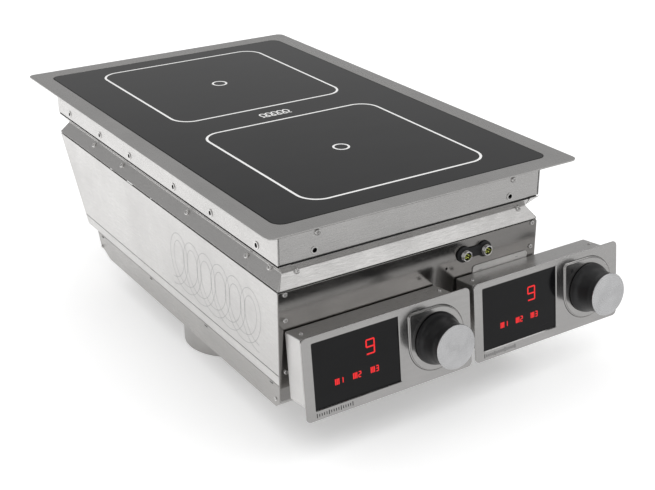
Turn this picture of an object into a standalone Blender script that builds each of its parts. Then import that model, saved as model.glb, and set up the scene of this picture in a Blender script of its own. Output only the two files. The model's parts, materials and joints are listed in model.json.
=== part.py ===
"""Drop-in twin-zone induction cooktop with its generator housing and two remote control modules.

Metres, +Z up, +Y to the rear, X to the right of a cook who faces the controls.
The origin is the centre of the worktop cut-out, on the worktop's surface, where the flange rests.
Every size is given in millimetres below and scaled once by MM.
"""

import math

import bmesh
import bpy
from mathutils import Matrix, Vector

MM = 0.001
COLLECTION = "induction_cooktop"

# Clearances
GAP = 0.3                 # between faces that touch
RUN = 0.6                 # around a part that turns

# Sheet metal
FRAME_WALL = 1.5
PANEL_WALL = 1.2

# Top frame and glass
FLANGE_X = 400.0
FLANGE_Y = 644.6
FLANGE_CORNER = 9.0
FLANGE_OVERHANG_X = 27.7
FLANGE_OVERHANG_Y = 30.2
GLASS_X = 351.9
GLASS_Y = 595.0
GLASS_CORNER = 12.0
GLASS_THICK = 4.0
SEAL_WIDTH = 1.0
LEDGE_WIDTH = 16.0

# Skirt that stands in the worktop cut-out
SKIRT_DEPTH = 45.8
SKIRT_LIP = 6.0
SKIRT_CORNER = 2.0
SIDE_HOLES = (60.0, 150.0, 250.0)
FRONT_HOLE = 129.0
HOLE_RISE = 7.5
HOLE_RADIUS = 2.6

# Waist: a cover folded to a V between skirt and housing, with a seal above it
HOUSING_SIDE = 0.7        # housing stands this far outside the skirt
SEAL_HEIGHT = 2.0
SEAL_INSET = 1.5
WAIST_LIP = 8.0
WAIST_RISE = 12.1         # from the crease up to the cover's lip
WAIST_FALL = 14.6         # from the crease down to the housing
WAIST_RUN = 10.8

# Housing
SIDE_HEIGHT = 99.0
REAR_SLOPE = 0.687        # forward run for each unit of fall
TRAY_HEIGHT = 11.2
PAN_HEIGHT = 28.0
PAN_REAR_INSET = 31.4
PAN_TAIL_RUN = 36.0
PAN_TAIL_RISE = 11.0
PAN_NOSE = 7.5            # chamfer at the pan's front edge
FRONT_PANEL_LIFT = 9.7    # front panel ends this far above the pan's bottom

# Air intake and fan
SPIGOT_X = -98.0
SPIGOT_Y = -49.6
SPIGOT_RADIUS = 60.0
SPIGOT_LENGTH = 42.3
SPIGOT_WALL = 1.2
SPIGOT_FLANGE = 8.0
FAN_SIZE = 119.0
FAN_DEPTH = 24.0
FAN_HUB = 21.0
FAN_BLADES = 7
STRUT_WIDTH = 6.0
STRUT_THICK = 2.6
BLADE_SWEEP = 15.0        # half of the angle a blade covers at its tip
BLADE_ROOT = 3.0
BLADE_ROOT_LEAN = 8.0
BLADE_THICK = 1.4

# Coils
ZONE_SIZE = 238.0
ZONE_SPACING = 292.4
COIL_THICK = 4.6
COIL_HOLE = 46.0
CARRIER_THICK = 5.0
FERRITE_THICK = 4.0
FERRITE_WIDTH = 18.0
FERRITE_ARMS = 8
SENSOR_RADIUS = 8.0
INSULATION_THICK = 1.0
TRAY_SHEET = 1.5
DECK_INSET = 4.0

# Electronics
BOARD_THICK = 1.6
BOARD_X = 150.0
BOARD_Y = 190.0
BOARD_STANDOFF = 8.0
SINK_HEIGHT = 34.0
SINK_WIDTH = 60.0
SINK_LENGTH = 140.0
SINK_BASE = 6.0
SINK_FIN = 1.8
SINK_FINS = 9

# Connectors on the front panel
SOCKET_X = 66.0
SOCKET_SPACING = 29.0
SOCKET_DROP = 18.7        # below the front panel's top edge
SOCKET_RADIUS = 6.2
SOCKET_BORE = 4.6
SOCKET_PROUD = 6.5
SOCKET_DEPTH = 6.0
SOCKET_PLATE = 2.0
SOCKET_PLATE_RADIUS = 9.4
LABEL_X = (80.0, 160.0)
LABEL_DROP = 37.0
LABEL_HEIGHT = 30.0
LABEL_CORNER = 4.0
LABEL_THICK = 0.8

# Control modules
FACE_X = 217.2
FACE_Y = 94.1
FACE_CORNER = 6.0
MODULE_TILT = 6.9
MODULE_GAP = 5.5
MODULE_LEFT_X = -58.6
MODULE_STANDOFF = 1.4
BOX_WIDTH = 193.5
BOX_DEPTH = 29.7
BOX_LOW = -29.5           # the box ends above the face's lower edge
CABLE_Y = -10.0
WINDOW_X = (-96.0, 12.2)
WINDOW_Y = (-35.9, 38.8)
WINDOW_LAP = 2.0
WINDOW_THICK = 2.0
KNOB_X = 61.0
KNOB_Y = 1.1
BOSS_RADIUS = 36.0
BOSS_CORNER = 4.0
BOSS_HEIGHT = 2.0
KNOB_RADIUS = 29.8
KNOB_WAIST = 24.2
CAP_RADIUS = 25.3
KNOB_HEIGHT = 34.5
CAP_THICK = 1.2
SHAFT_RADIUS = 3.0

# Derived heights, all downwards from the worktop surface
GLASS_TOP = FRAME_WALL
GLASS_UNDER = GLASS_TOP - GLASS_THICK
LEDGE_TOP = GLASS_UNDER - GAP
SKIRT_X = FLANGE_X / 2 - FLANGE_OVERHANG_X
SKIRT_Y = FLANGE_Y / 2 - FLANGE_OVERHANG_Y
SKIRT_TOP = LEDGE_TOP - FRAME_WALL - GAP
SKIRT_EDGE = -SKIRT_DEPTH
LIP_TOP = SKIRT_EDGE - SEAL_HEIGHT
CREASE_Z = LIP_TOP - WAIST_RISE
PANEL_TOP = CREASE_Z - WAIST_FALL
SEAM_Z = PANEL_TOP - SIDE_HEIGHT
TRAY_Z = SEAM_Z - TRAY_HEIGHT
PAN_Z = TRAY_Z - PAN_HEIGHT - GAP
HOUSE_X = SKIRT_X + HOUSING_SIDE
HOUSE_Y = SKIRT_Y
FRONT_Y = -HOUSE_Y
INNER_X = HOUSE_X - PANEL_WALL - GAP
ZONES = {"front": -ZONE_SPACING / 2, "rear": ZONE_SPACING / 2}


def rear_y(z):
    """Rear face's place at a height, on its forward slope."""
    return HOUSE_Y - REAR_SLOPE * (PANEL_TOP - z)


# ---------------------------------------------------------------- helpers

def clear_scene():
    for item in list(bpy.data.objects):
        bpy.data.objects.remove(item, do_unlink=True)


def make_collection(name, hidden=False):
    made = bpy.data.collections.new(name)
    bpy.context.scene.collection.children.link(made)
    made.hide_render = hidden
    return made


def make_material(name, colour, roughness, metallic):
    made = bpy.data.materials.new(name)
    made.use_nodes = True
    shader = made.node_tree.nodes["Principled BSDF"]
    shader.inputs["Base Color"].default_value = (*colour, 1.0)
    shader.inputs["Roughness"].default_value = roughness
    shader.inputs["Metallic"].default_value = metallic
    return made


def place(name, data, material, collection, parent=None, location=(0, 0, 0), rotation=(0, 0, 0)):
    """One object from mesh or curve data; location in millimetres, rotation in degrees."""
    made = bpy.data.objects.new(name, data)
    collection.objects.link(made)
    if material is not None:
        data.materials.append(material)
    made.parent = parent
    made.location = Vector(location) * MM
    made.rotation_euler = [math.radians(angle) for angle in rotation]
    return made


def empty(name, collection, location, rotation=(0, 0, 0)):
    made = bpy.data.objects.new(name, None)
    collection.objects.link(made)
    made.location = Vector(location) * MM
    made.rotation_euler = [math.radians(angle) for angle in rotation]
    return made


def box_mesh(name, low, high):
    mesh = bpy.data.meshes.new(name)
    form = bmesh.new()
    bmesh.ops.create_cube(form, size=1.0)
    size = Vector(high) - Vector(low)
    centre = (Vector(high) + Vector(low)) / 2
    bmesh.ops.scale(form, vec=size * MM, verts=form.verts)
    bmesh.ops.translate(form, vec=centre * MM, verts=form.verts)
    form.to_mesh(mesh)
    form.free()
    return mesh


def cylinder_mesh(name, radius, low, high, sides=24, axis="Z", centre=(0, 0)):
    """Capped cylinder from low to high along an axis, through centre in the other two."""
    mesh = bpy.data.meshes.new(name)
    form = bmesh.new()
    bmesh.ops.create_cone(form, cap_ends=True, segments=sides, radius1=radius * MM,
                          radius2=radius * MM, depth=(high - low) * MM)
    middle = (high + low) / 2
    turns = {"Z": Matrix(), "X": Matrix.Rotation(math.pi / 2, 4, "Y"), "Y": Matrix.Rotation(-math.pi / 2, 4, "X")}
    spots = {"Z": (*centre, middle), "X": (middle, *centre), "Y": (centre[0], middle, centre[1])}
    bmesh.ops.transform(form, matrix=turns[axis], verts=form.verts)
    bmesh.ops.translate(form, vec=Vector(spots[axis]) * MM, verts=form.verts)
    form.to_mesh(mesh)
    form.free()
    return mesh


def rounded_rectangle(half_x, half_y, radius, centre=(0.0, 0.0), steps=4):
    """Outline points, anticlockwise, with each corner an arc of the same radius."""
    corners = ((1, 1, 0), (-1, 1, 90), (-1, -1, 180), (1, -1, 270))
    points = []
    for side_x, side_y, start in corners:
        middle_x = centre[0] + side_x * (half_x - radius)
        middle_y = centre[1] + side_y * (half_y - radius)
        for step in range(steps + 1):
            angle = math.radians(start + 90 * step / steps)
            points.append((middle_x + radius * math.cos(angle), middle_y + radius * math.sin(angle)))
    return points


def circle(radius, centre=(0.0, 0.0), sides=24, start=0.0):
    turns = [start + 2 * math.pi * step / sides for step in range(sides)]
    return [(centre[0] + radius * math.cos(turn), centre[1] + radius * math.sin(turn)) for turn in turns]


def arc(radius, start, end, steps, centre=(0.0, 0.0)):
    angles = [math.radians(start + (end - start) * step / steps) for step in range(steps + 1)]
    return [(centre[0] + radius * math.cos(turn), centre[1] + radius * math.sin(turn)) for turn in angles]


def plate_curve(name, outlines, thick):
    """Flat plate from closed outlines; the first is the edge and the others are holes."""
    data = bpy.data.curves.new(name, "CURVE")
    data.dimensions = "2D"
    data.fill_mode = "BOTH"
    data.extrude = thick * MM / 2
    for outline in outlines:
        spline = data.splines.new("POLY")
        spline.points.add(len(outline) - 1)
        for point, (x, y) in zip(spline.points, outline):
            point.co = (x * MM, y * MM, 0.0, 1.0)
        spline.use_cyclic_u = True
    return data


def plate(name, outlines, low, high, material, collection, parent=None, location=(0, 0, 0), rotation=(0, 0, 0)):
    """Plate between two heights of its own frame, kept as a mesh so that it can be cut or joined."""
    curve = bpy.data.objects.new(name + "_outline", plate_curve(name, outlines, high - low))
    bpy.context.scene.collection.objects.link(curve)
    bpy.context.view_layer.update()
    mesh = bpy.data.meshes.new_from_object(curve.evaluated_get(bpy.context.evaluated_depsgraph_get()))
    mesh.name = name
    form = bmesh.new()
    form.from_mesh(mesh)
    bmesh.ops.remove_doubles(form, verts=form.verts, dist=1e-6)
    bmesh.ops.translate(form, vec=(0, 0, (low + high) / 2 * MM), verts=form.verts)
    form.to_mesh(mesh)
    form.free()
    mesh.materials.clear()
    bpy.data.objects.remove(curve, do_unlink=True)
    return place(name, mesh, material, collection, parent, location, rotation)


def side_profile(name, outline, low_x, high_x, material, collection):
    """Outline in Y and Z, carried along X from low_x to high_x."""
    return plate(name, [outline], low_x, high_x, material, collection, rotation=(90, 0, 90))


def sheet_shell(name, loops, wall, material, collection, closed_top=False):
    """Bent sheet through closed loops of equal length. Outward steps put the wall below, downward steps inside."""
    mesh = bpy.data.meshes.new(name)
    form = bmesh.new()
    rings = [[form.verts.new((x * MM, y * MM, z * MM)) for x, y in loop] for loop, z in loops]
    for ring, following in zip(rings, rings[1:]):
        for index in range(len(ring)):
            after = (index + 1) % len(ring)
            form.faces.new((ring[index], following[index], following[after], ring[after]))
    if closed_top:
        form.faces.new(rings[0])
    form.to_mesh(mesh)
    form.free()
    made = place(name, mesh, material, collection)
    thicken = made.modifiers.new("wall", "SOLIDIFY")
    thicken.thickness = wall * MM
    thicken.offset = -1.0
    thicken.use_even_offset = True
    thicken.use_quality_normals = True
    return made


def turned(name, profile, material, collection, parent=None, location=(0, 0, 0), rotation=(0, 0, 0), steps=32):
    """Turned shape from a closed or axis-ended profile of (radius, height), outer side top to bottom."""
    mesh = bpy.data.meshes.new(name)
    form = bmesh.new()
    verts = [form.verts.new((radius * MM, 0.0, height * MM)) for radius, height in profile]
    for first, second in zip(verts, verts[1:]):
        form.edges.new((first, second))
    if profile[0][0] > 0:
        form.edges.new((verts[-1], verts[0]))
    form.to_mesh(mesh)
    form.free()
    made = place(name, mesh, material, collection, parent, location, rotation)
    spin = made.modifiers.new("turn", "SCREW")
    spin.angle = 2 * math.pi
    spin.steps = steps
    spin.render_steps = steps
    spin.axis = "Z"
    spin.use_merge_vertices = True
    spin.merge_threshold = 0.00005
    return made


def boolean(target, other, operation):
    change = target.modifiers.new(operation.lower(), "BOOLEAN")
    change.operation = operation
    change.solver = "EXACT"
    change.object = other


def as_cutter(cutter):
    cutter.hide_render = True
    cutter.display_type = "WIRE"
    return cutter


# ---------------------------------------------------------------- top frame

def build_top(parts, cutters, finish):
    hole_x = GLASS_X / 2 + SEAL_WIDTH
    hole_y = GLASS_Y / 2 + SEAL_WIDTH
    hole_corner = GLASS_CORNER + SEAL_WIDTH
    ledge_x = hole_x - LEDGE_WIDTH
    ledge_y = hole_y - LEDGE_WIDTH
    sheet_shell("flange_frame", [
        (rounded_rectangle(ledge_x, ledge_y, FRAME_WALL), LEDGE_TOP),
        (rounded_rectangle(hole_x, hole_y, hole_corner), LEDGE_TOP),
        (rounded_rectangle(hole_x, hole_y, hole_corner), GLASS_TOP),
        (rounded_rectangle(FLANGE_X / 2, FLANGE_Y / 2, FLANGE_CORNER), GLASS_TOP),
    ], FRAME_WALL, finish["steel"], parts)
    plate("glass_plate", [rounded_rectangle(GLASS_X / 2, GLASS_Y / 2, GLASS_CORNER)],
          GLASS_UNDER, GLASS_TOP, finish["glass"], parts)
    seal_out = SEAL_WIDTH - GAP
    plate("glass_seal", [
        rounded_rectangle(GLASS_X / 2 + seal_out, GLASS_Y / 2 + seal_out, GLASS_CORNER + seal_out),
        rounded_rectangle(GLASS_X / 2 + GAP, GLASS_Y / 2 + GAP, GLASS_CORNER + GAP),
    ], GLASS_UNDER + GAP, GLASS_TOP - GAP, finish["rubber"], parts)

    skirt = sheet_shell("skirt", [
        (rounded_rectangle(SKIRT_X - SKIRT_LIP, SKIRT_Y - SKIRT_LIP, SKIRT_CORNER), SKIRT_TOP),
        (rounded_rectangle(SKIRT_X, SKIRT_Y, SKIRT_CORNER), SKIRT_TOP),
        (rounded_rectangle(SKIRT_X, SKIRT_Y, SKIRT_CORNER), SKIRT_EDGE),
        (rounded_rectangle(SKIRT_X - SKIRT_LIP, SKIRT_Y - SKIRT_LIP, SKIRT_CORNER), SKIRT_EDGE),
    ], FRAME_WALL, finish["steel"], parts)
    hole_z = SKIRT_EDGE + HOLE_RISE
    for index, reach in enumerate([*SIDE_HOLES, *(-y for y in SIDE_HOLES)]):
        cut = place(f"side_hole_{index}", cylinder_mesh(f"side_hole_{index}", HOLE_RADIUS, -FLANGE_X, FLANGE_X,
                    8, "X", (reach, hole_z)), None, cutters)
        boolean(skirt, as_cutter(cut), "DIFFERENCE")
    for index, across in enumerate((-FRONT_HOLE, FRONT_HOLE)):
        cut = place(f"front_hole_{index}", cylinder_mesh(f"front_hole_{index}", HOLE_RADIUS, -FLANGE_Y, FLANGE_Y,
                    8, "Y", (across, hole_z)), None, cutters)
        boolean(skirt, as_cutter(cut), "DIFFERENCE")


# ---------------------------------------------------------------- housing

def build_housing(parts, cutters, finish):
    crease_x = HOUSE_X - WAIST_RUN
    crease_y = HOUSE_Y - WAIST_RUN
    sheet_shell("waist_cover", [
        (rounded_rectangle(SKIRT_X - WAIST_LIP, SKIRT_Y - WAIST_LIP, FRAME_WALL), LIP_TOP),
        (rounded_rectangle(SKIRT_X, SKIRT_Y, FRAME_WALL), LIP_TOP),
        (rounded_rectangle(crease_x, crease_y, FRAME_WALL), CREASE_Z),
        (rounded_rectangle(HOUSE_X, HOUSE_Y, FRAME_WALL), PANEL_TOP),
    ], PANEL_WALL, finish["steel"], parts)
    seal_x = SKIRT_X - SEAL_INSET
    seal_y = SKIRT_Y - SEAL_INSET
    seal_band = SKIRT_LIP - SEAL_INSET
    plate("waist_seal", [
        rounded_rectangle(seal_x, seal_y, SKIRT_CORNER),
        rounded_rectangle(seal_x - seal_band, seal_y - seal_band, SKIRT_CORNER),
    ], LIP_TOP + GAP, SKIRT_EDGE - GAP, finish["rubber"], parts)

    panel_high = PANEL_TOP - GAP - PANEL_WALL
    seam = SEAM_Z + GAP
    front_inner = FRONT_Y + PANEL_WALL + GAP
    side_outline = [(front_inner, seam), (rear_y(seam), seam), (rear_y(panel_high), panel_high),
                    (front_inner, panel_high)]
    side_profile("left_side_panel", side_outline, -HOUSE_X, -HOUSE_X + PANEL_WALL, finish["steel"], parts)
    side_profile("right_side_panel", side_outline, HOUSE_X - PANEL_WALL, HOUSE_X, finish["steel"], parts)
    front_panel_low = PAN_Z + FRONT_PANEL_LIFT
    front_outline = [(-HOUSE_X, front_panel_low), (HOUSE_X, front_panel_low), (HOUSE_X, panel_high),
                     (-HOUSE_X, panel_high)]
    socket_z = PANEL_TOP - SOCKET_DROP
    socket_holes = [circle(SOCKET_RADIUS - 1.0 + GAP, (x, socket_z), 12) for x in SOCKETS]
    plate("front_panel", [front_outline, *socket_holes], -PANEL_WALL / 2, PANEL_WALL / 2, finish["steel"], parts,
          location=(0, FRONT_Y + PANEL_WALL / 2, 0), rotation=(90, 0, 0))

    slope_length = math.hypot(1.0, REAR_SLOPE) * (panel_high - seam)
    slots = []
    for row in (-1, 1):
        for column in range(SLOT_COLUMNS):
            across = (column - (SLOT_COLUMNS - 1) / 2) * SLOT_PITCH
            slots.append(rounded_rectangle(SLOT_WIDTH / 2, SLOT_LENGTH / 2, SLOT_WIDTH / 4,
                                           (across, row * (SLOT_LENGTH / 2 + SLOT_GAP)), 1))
    middle_z = (panel_high + seam) / 2
    lean = math.degrees(math.atan(REAR_SLOPE))
    rear_outline = rounded_rectangle(INNER_X, slope_length / 2, 0.5, steps=1)
    normal_out = Vector((0, math.cos(math.radians(lean)), -math.sin(math.radians(lean))))
    rear_middle = Vector((0, rear_y(middle_z), middle_z)) - normal_out * (PANEL_WALL / 2)
    gland_hole = circle(GLAND_RADIUS + GAP, (-GLAND_X, GLAND_RISE), 16)
    plate("rear_panel", [rear_outline, gland_hole, *slots], -PANEL_WALL / 2, PANEL_WALL / 2, finish["steel"], parts,
          location=rear_middle, rotation=(90 + lean, 0, 180))
    rear_pose = empty("rear_pose", parts, rear_middle, (90 + lean, 0, 180))
    turned("cable_gland", [
        (0, 16), (7, 16), (9, 14), (9.5, 6), (12, 5.5), (12, PANEL_WALL / 2 + GAP),
        (GLAND_RADIUS, PANEL_WALL / 2 + GAP), (GLAND_RADIUS, -8), (0, -8)],
        finish["plastic"], parts, rear_pose, (-GLAND_X, GLAND_RISE, 0), steps=16)

    throat = place("throat", cylinder_mesh("throat", FAN_THROAT, PAN_Z - 10, SEAM_Z + 10, 32, "Z",
                   (SPIGOT_X, SPIGOT_Y)), None, cutters)
    tray = open_tray("base_tray", [
        (front_inner, SEAM_Z), (front_inner, TRAY_Z), (rear_y(TRAY_Z), TRAY_Z), (rear_y(SEAM_Z), SEAM_Z)],
        finish["steel"], parts, cutters)
    boolean(tray, as_cutter(throat), "DIFFERENCE")
    pan_top = TRAY_Z - GAP
    pan = open_tray("bottom_pan", [
        (front_inner, pan_top), (front_inner, PAN_Z + PAN_NOSE), (front_inner + PAN_NOSE, PAN_Z),
        (PAN_REAR_Y - PAN_TAIL_RUN, PAN_Z), (PAN_REAR_Y - PAN_TAIL_RUN / 5, PAN_Z + PAN_TAIL_RISE),
        (PAN_REAR_Y, pan_top)], finish["steel"], parts, cutters)
    boolean(pan, as_cutter(throat), "DIFFERENCE")


def inset_path(points, depth):
    """Path moved to its left by depth, with each corner where the moved sides meet; ends carried on upwards."""
    moved = []
    for (y0, z0), (y1, z1) in zip(points, points[1:]):
        along = Vector((y1 - y0, z1 - z0)).normalized()
        shift = Vector((-along.y, along.x)) * depth
        moved.append((Vector((y0, z0)) + shift, along))
    path = [moved[0][0] - moved[0][1] * 5.0]
    for (start, along), (following, turn) in zip(moved, moved[1:]):
        cross = along.x * turn.y - along.y * turn.x
        offset = following - start
        path.append(start + along * ((offset.x * turn.y - offset.y * turn.x) / cross))
    last_start, last_along = moved[-1]
    path.append(last_start + last_along * ((Vector(points[-1]) - Vector(points[-2])).length + 5.0))
    return [tuple(point) for point in path]


def open_tray(name, profile, material, parts, cutters):
    """Folded tray, open on top, from its side profile run front top, round the bottom, to rear top."""
    tray = side_profile(name, profile, -HOUSE_X, HOUSE_X, material, parts)
    hollow = side_profile(name + "_hollow", inset_path(profile, PANEL_WALL), -HOUSE_X + PANEL_WALL,
                          HOUSE_X - PANEL_WALL, None, cutters)
    boolean(tray, as_cutter(hollow), "DIFFERENCE")
    return tray


# ---------------------------------------------------------------- air path

def build_air_path(parts, cutters, finish):
    axis = (SPIGOT_X, SPIGOT_Y, 0)
    top = PAN_Z - GAP
    turned("air_spigot", [
        (SPIGOT_RADIUS + SPIGOT_FLANGE, top), (SPIGOT_RADIUS + SPIGOT_FLANGE, top - SPIGOT_WALL),
        (SPIGOT_RADIUS, top - SPIGOT_WALL), (SPIGOT_RADIUS, top - SPIGOT_LENGTH),
        (SPIGOT_RADIUS - SPIGOT_WALL, top - SPIGOT_LENGTH), (SPIGOT_RADIUS - SPIGOT_WALL, top)],
        finish["steel"], parts, location=axis, steps=40)

    guard_radius = SPIGOT_RADIUS - SPIGOT_WALL - GAP
    openings = []
    spokes = 4
    room = FAN_THROAT - GUARD_HUB - GUARD_BAR * len(GUARD_BANDS)
    outer = GUARD_HUB - GUARD_BAR
    for band in GUARD_BANDS:
        inner = outer + GUARD_BAR
        outer = inner + room * band / sum(GUARD_BANDS)
        for spoke in range(spokes):
            start = 360 / spokes * spoke + GUARD_SPOKE
            end = 360 / spokes * (spoke + 1) - GUARD_SPOKE
            openings.append(arc(outer, start, end, 4) + arc(inner, end, start, 4))
    plate("fan_guard", [circle(guard_radius, sides=32), *openings], top - PANEL_WALL - GAP, top - GAP,
          finish["steel"], parts, location=axis)

    fan_low = PAN_Z + PANEL_WALL + GAP
    fan_high = fan_low + FAN_DEPTH
    half = FAN_SIZE / 2
    frame = plate("fan_frame", [rounded_rectangle(half, half, 6, steps=2), circle(FAN_THROAT, sides=32)],
                  fan_low, fan_high, finish["plastic"], parts, location=axis)
    spider = []
    for spoke in range(3):
        turn = 120 * spoke
        spider += arc(FAN_HUB, turn + 10, turn + 110, 6)
        along = Vector((math.cos(math.radians(turn + 120)), math.sin(math.radians(turn + 120))))
        across = Vector((-along.y, along.x)) * STRUT_WIDTH / 2
        spider += [tuple(along * (FAN_THROAT + 2) - across), tuple(along * (FAN_THROAT + 2) + across)]
    seat_low = fan_low + GAP
    seat_high = seat_low + STRUT_THICK
    seat = plate("fan_spider", [spider], seat_low, seat_high, None, cutters, location=axis)
    boolean(frame, as_cutter(seat), "UNION")

    hub_low = seat_high + RUN
    hub_high = fan_high - 1.0
    place("fan_impeller", impeller_mesh("fan_impeller", hub_low, hub_high), finish["plastic"], parts,
          location=axis)


def impeller_mesh(name, low, high):
    """Hub with pitched blades drawn out of its own wall, so that hub and blades are one skin."""
    mesh = bpy.data.meshes.new(name)
    form = bmesh.new()
    heights = (low, low + 1.5, high - 1.5, high)
    leans = (-1, -1, 1, 1)
    pitch = 360.0 / FAN_BLADES

    def spot(radius, angle, height):
        turn = math.radians(angle)
        return form.verts.new(Vector((radius * math.cos(turn), radius * math.sin(turn), height)) * MM)

    rings = []
    for height, lean in zip(heights, leans):
        ring = []
        for blade in range(FAN_BLADES):
            middle = blade * pitch
            root = middle + lean * BLADE_ROOT_LEAN
            ring += [spot(FAN_HUB, root - BLADE_ROOT, height), spot(FAN_HUB, root + BLADE_ROOT, height),
                     spot(FAN_HUB, middle + pitch / 2, height)]
        rings.append(ring)
    count = len(rings[0])
    form.faces.new(rings[0][::-1])
    form.faces.new(rings[-1])
    for level, (lower, upper) in enumerate(zip(rings, rings[1:])):
        for index in range(count):
            if level == 1 and index % 3 == 0:
                continue
            after = (index + 1) % count
            form.faces.new((lower[index], lower[after], upper[after], upper[index]))
    for blade in range(FAN_BLADES):
        section = [rings[1][3 * blade], rings[1][3 * blade + 1], rings[2][3 * blade + 1], rings[2][3 * blade]]
        for step in (1, 2, 3):
            share = step / 3
            radius = FAN_HUB + (FAN_THROAT - 1.5 - FAN_HUB) * share
            lean = BLADE_ROOT_LEAN + (BLADE_SWEEP - BLADE_ROOT_LEAN) * share
            half = math.degrees(BLADE_THICK / radius)
            rise = (heights[2] - heights[1]) / 2 * (1.0 - 0.3 * share)
            middle = (heights[1] + heights[2]) / 2
            following = [spot(radius, blade * pitch - lean - half, middle - rise),
                         spot(radius, blade * pitch - lean + half, middle - rise),
                         spot(radius, blade * pitch + lean + half, middle + rise),
                         spot(radius, blade * pitch + lean - half, middle + rise)]
            for index in range(4):
                after = (index + 1) % 4
                form.faces.new((section[index], section[after], following[after], following[index]))
            section = following
        form.faces.new(section)
    bmesh.ops.recalc_face_normals(form, faces=form.faces)
    form.to_mesh(mesh)
    form.free()
    return mesh


# ---------------------------------------------------------------- coils

def build_coils(parts, cutters, finish):
    lip_x = SKIRT_X - FRAME_WALL - GAP
    lip_y = SKIRT_Y - FRAME_WALL - GAP
    deck_x = SKIRT_X - SKIRT_LIP - DECK_INSET
    deck_y = SKIRT_Y - SKIRT_LIP - DECK_INSET
    deck_top = COIL_TRAY_UNDER + TRAY_SHEET
    foot_top = SKIRT_EDGE + FRAME_WALL + GAP + TRAY_SHEET
    deck = sheet_shell("coil_tray", [
        (rounded_rectangle(deck_x, deck_y, 4, steps=2), deck_top),
        (rounded_rectangle(deck_x, deck_y, 4, steps=2), foot_top),
        (rounded_rectangle(lip_x, lip_y, 4, steps=2), foot_top),
    ], TRAY_SHEET, finish["aluminium"], parts, closed_top=True)
    for name, y in ZONES.items():
        hole = place(f"{name}_lead_hole", cylinder_mesh(f"{name}_lead_hole", 14, deck_top - 10, deck_top + 5, 16,
                     "Z", (0, y)), None, cutters)
        boolean(deck, as_cutter(hole), "DIFFERENCE")
    sheet_high = GLASS_UNDER - GAP
    mica_x = GLASS_X / 2 - LEDGE_WIDTH - 2.0
    mica_y = GLASS_Y / 2 - LEDGE_WIDTH - 2.0
    sensor_holes = [circle(SENSOR_RADIUS + RUN, (0, y), 16) for y in ZONES.values()]
    plate("insulation_sheet", [rounded_rectangle(mica_x, mica_y, 6, steps=2), *sensor_holes],
          sheet_high - INSULATION_THICK, sheet_high, finish["mica"], parts)
    coil_high = sheet_high - INSULATION_THICK - GAP
    coil_low = coil_high - COIL_THICK
    carrier_high = coil_low - GAP
    carrier_low = carrier_high - CARRIER_THICK
    ferrite_high = carrier_low - GAP
    ferrite_low = COIL_TRAY_UNDER + TRAY_SHEET + GAP
    half = ZONE_SIZE / 2 - 6.0
    for place_name, y in ZONES.items():
        at = (0, y, 0)
        plate(f"{place_name}_coil", [rounded_rectangle(half, half, 30, steps=6), circle(COIL_HOLE, sides=32)],
              coil_low, coil_high, finish["copper"], parts, location=at)
        plate(f"{place_name}_coil_carrier",
              [rounded_rectangle(half + 4, half + 4, 34, steps=6), circle(SENSOR_RADIUS + 4, sides=16)],
              carrier_low, carrier_high, finish["plastic"], parts, location=at)
        star = []
        for arm in range(FERRITE_ARMS):
            turn = 2 * math.pi * arm / FERRITE_ARMS
            along = Vector((math.cos(turn), math.sin(turn)))
            across = Vector((-along.y, along.x)) * (FERRITE_WIDTH / 2)
            root = along * (FERRITE_WIDTH / 2 / math.tan(math.pi / FERRITE_ARMS))
            star += [tuple(root - across), tuple(along * (half - 8) - across), tuple(along * (half - 8) + across)]
        plate(f"{place_name}_ferrites", [star, circle(SENSOR_RADIUS + 4, sides=12)], ferrite_low, ferrite_high,
              finish["ferrite"], parts, location=at)
        turned(f"{place_name}_temperature_sensor", [
            (0, sheet_high), (SENSOR_RADIUS - 1, sheet_high), (SENSOR_RADIUS, sheet_high - 1),
            (SENSOR_RADIUS, carrier_low), (SENSOR_RADIUS - 3, carrier_low), (SENSOR_RADIUS - 3, COIL_TRAY_UNDER - 6),
            (0, COIL_TRAY_UNDER - 6)], finish["ceramic"], parts, location=at, steps=16)


# ---------------------------------------------------------------- electronics

def board_on_pillars(name, size_x, size_y, spot, parts, cutters, finish):
    """Circuit board with the four pillars that hold it above the tray's floor."""
    floor = TRAY_Z + PANEL_WALL + GAP
    low = floor + BOARD_STANDOFF
    mesh = box_mesh(name, (-size_x / 2, -size_y / 2, low), (size_x / 2, size_y / 2, low + BOARD_THICK))
    board = place(name, mesh, finish["board"], parts, location=spot)
    form = bmesh.new()
    for side_x in (-1, 1):
        for side_y in (-1, 1):
            corner = Vector((side_x * (size_x / 2 - 6), side_y * (size_y / 2 - 6), (floor + low + 0.8) / 2))
            bmesh.ops.create_cone(form, cap_ends=True, segments=8, radius1=3.0 * MM, radius2=3.0 * MM,
                                  depth=(low + 0.8 - floor) * MM, matrix=Matrix.Translation(corner * MM))
    pillars = bpy.data.meshes.new(name + "_pillars")
    form.to_mesh(pillars)
    form.free()
    boolean(board, as_cutter(place(name + "_pillars", pillars, None, cutters, location=spot)), "UNION")
    return low + BOARD_THICK


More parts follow.
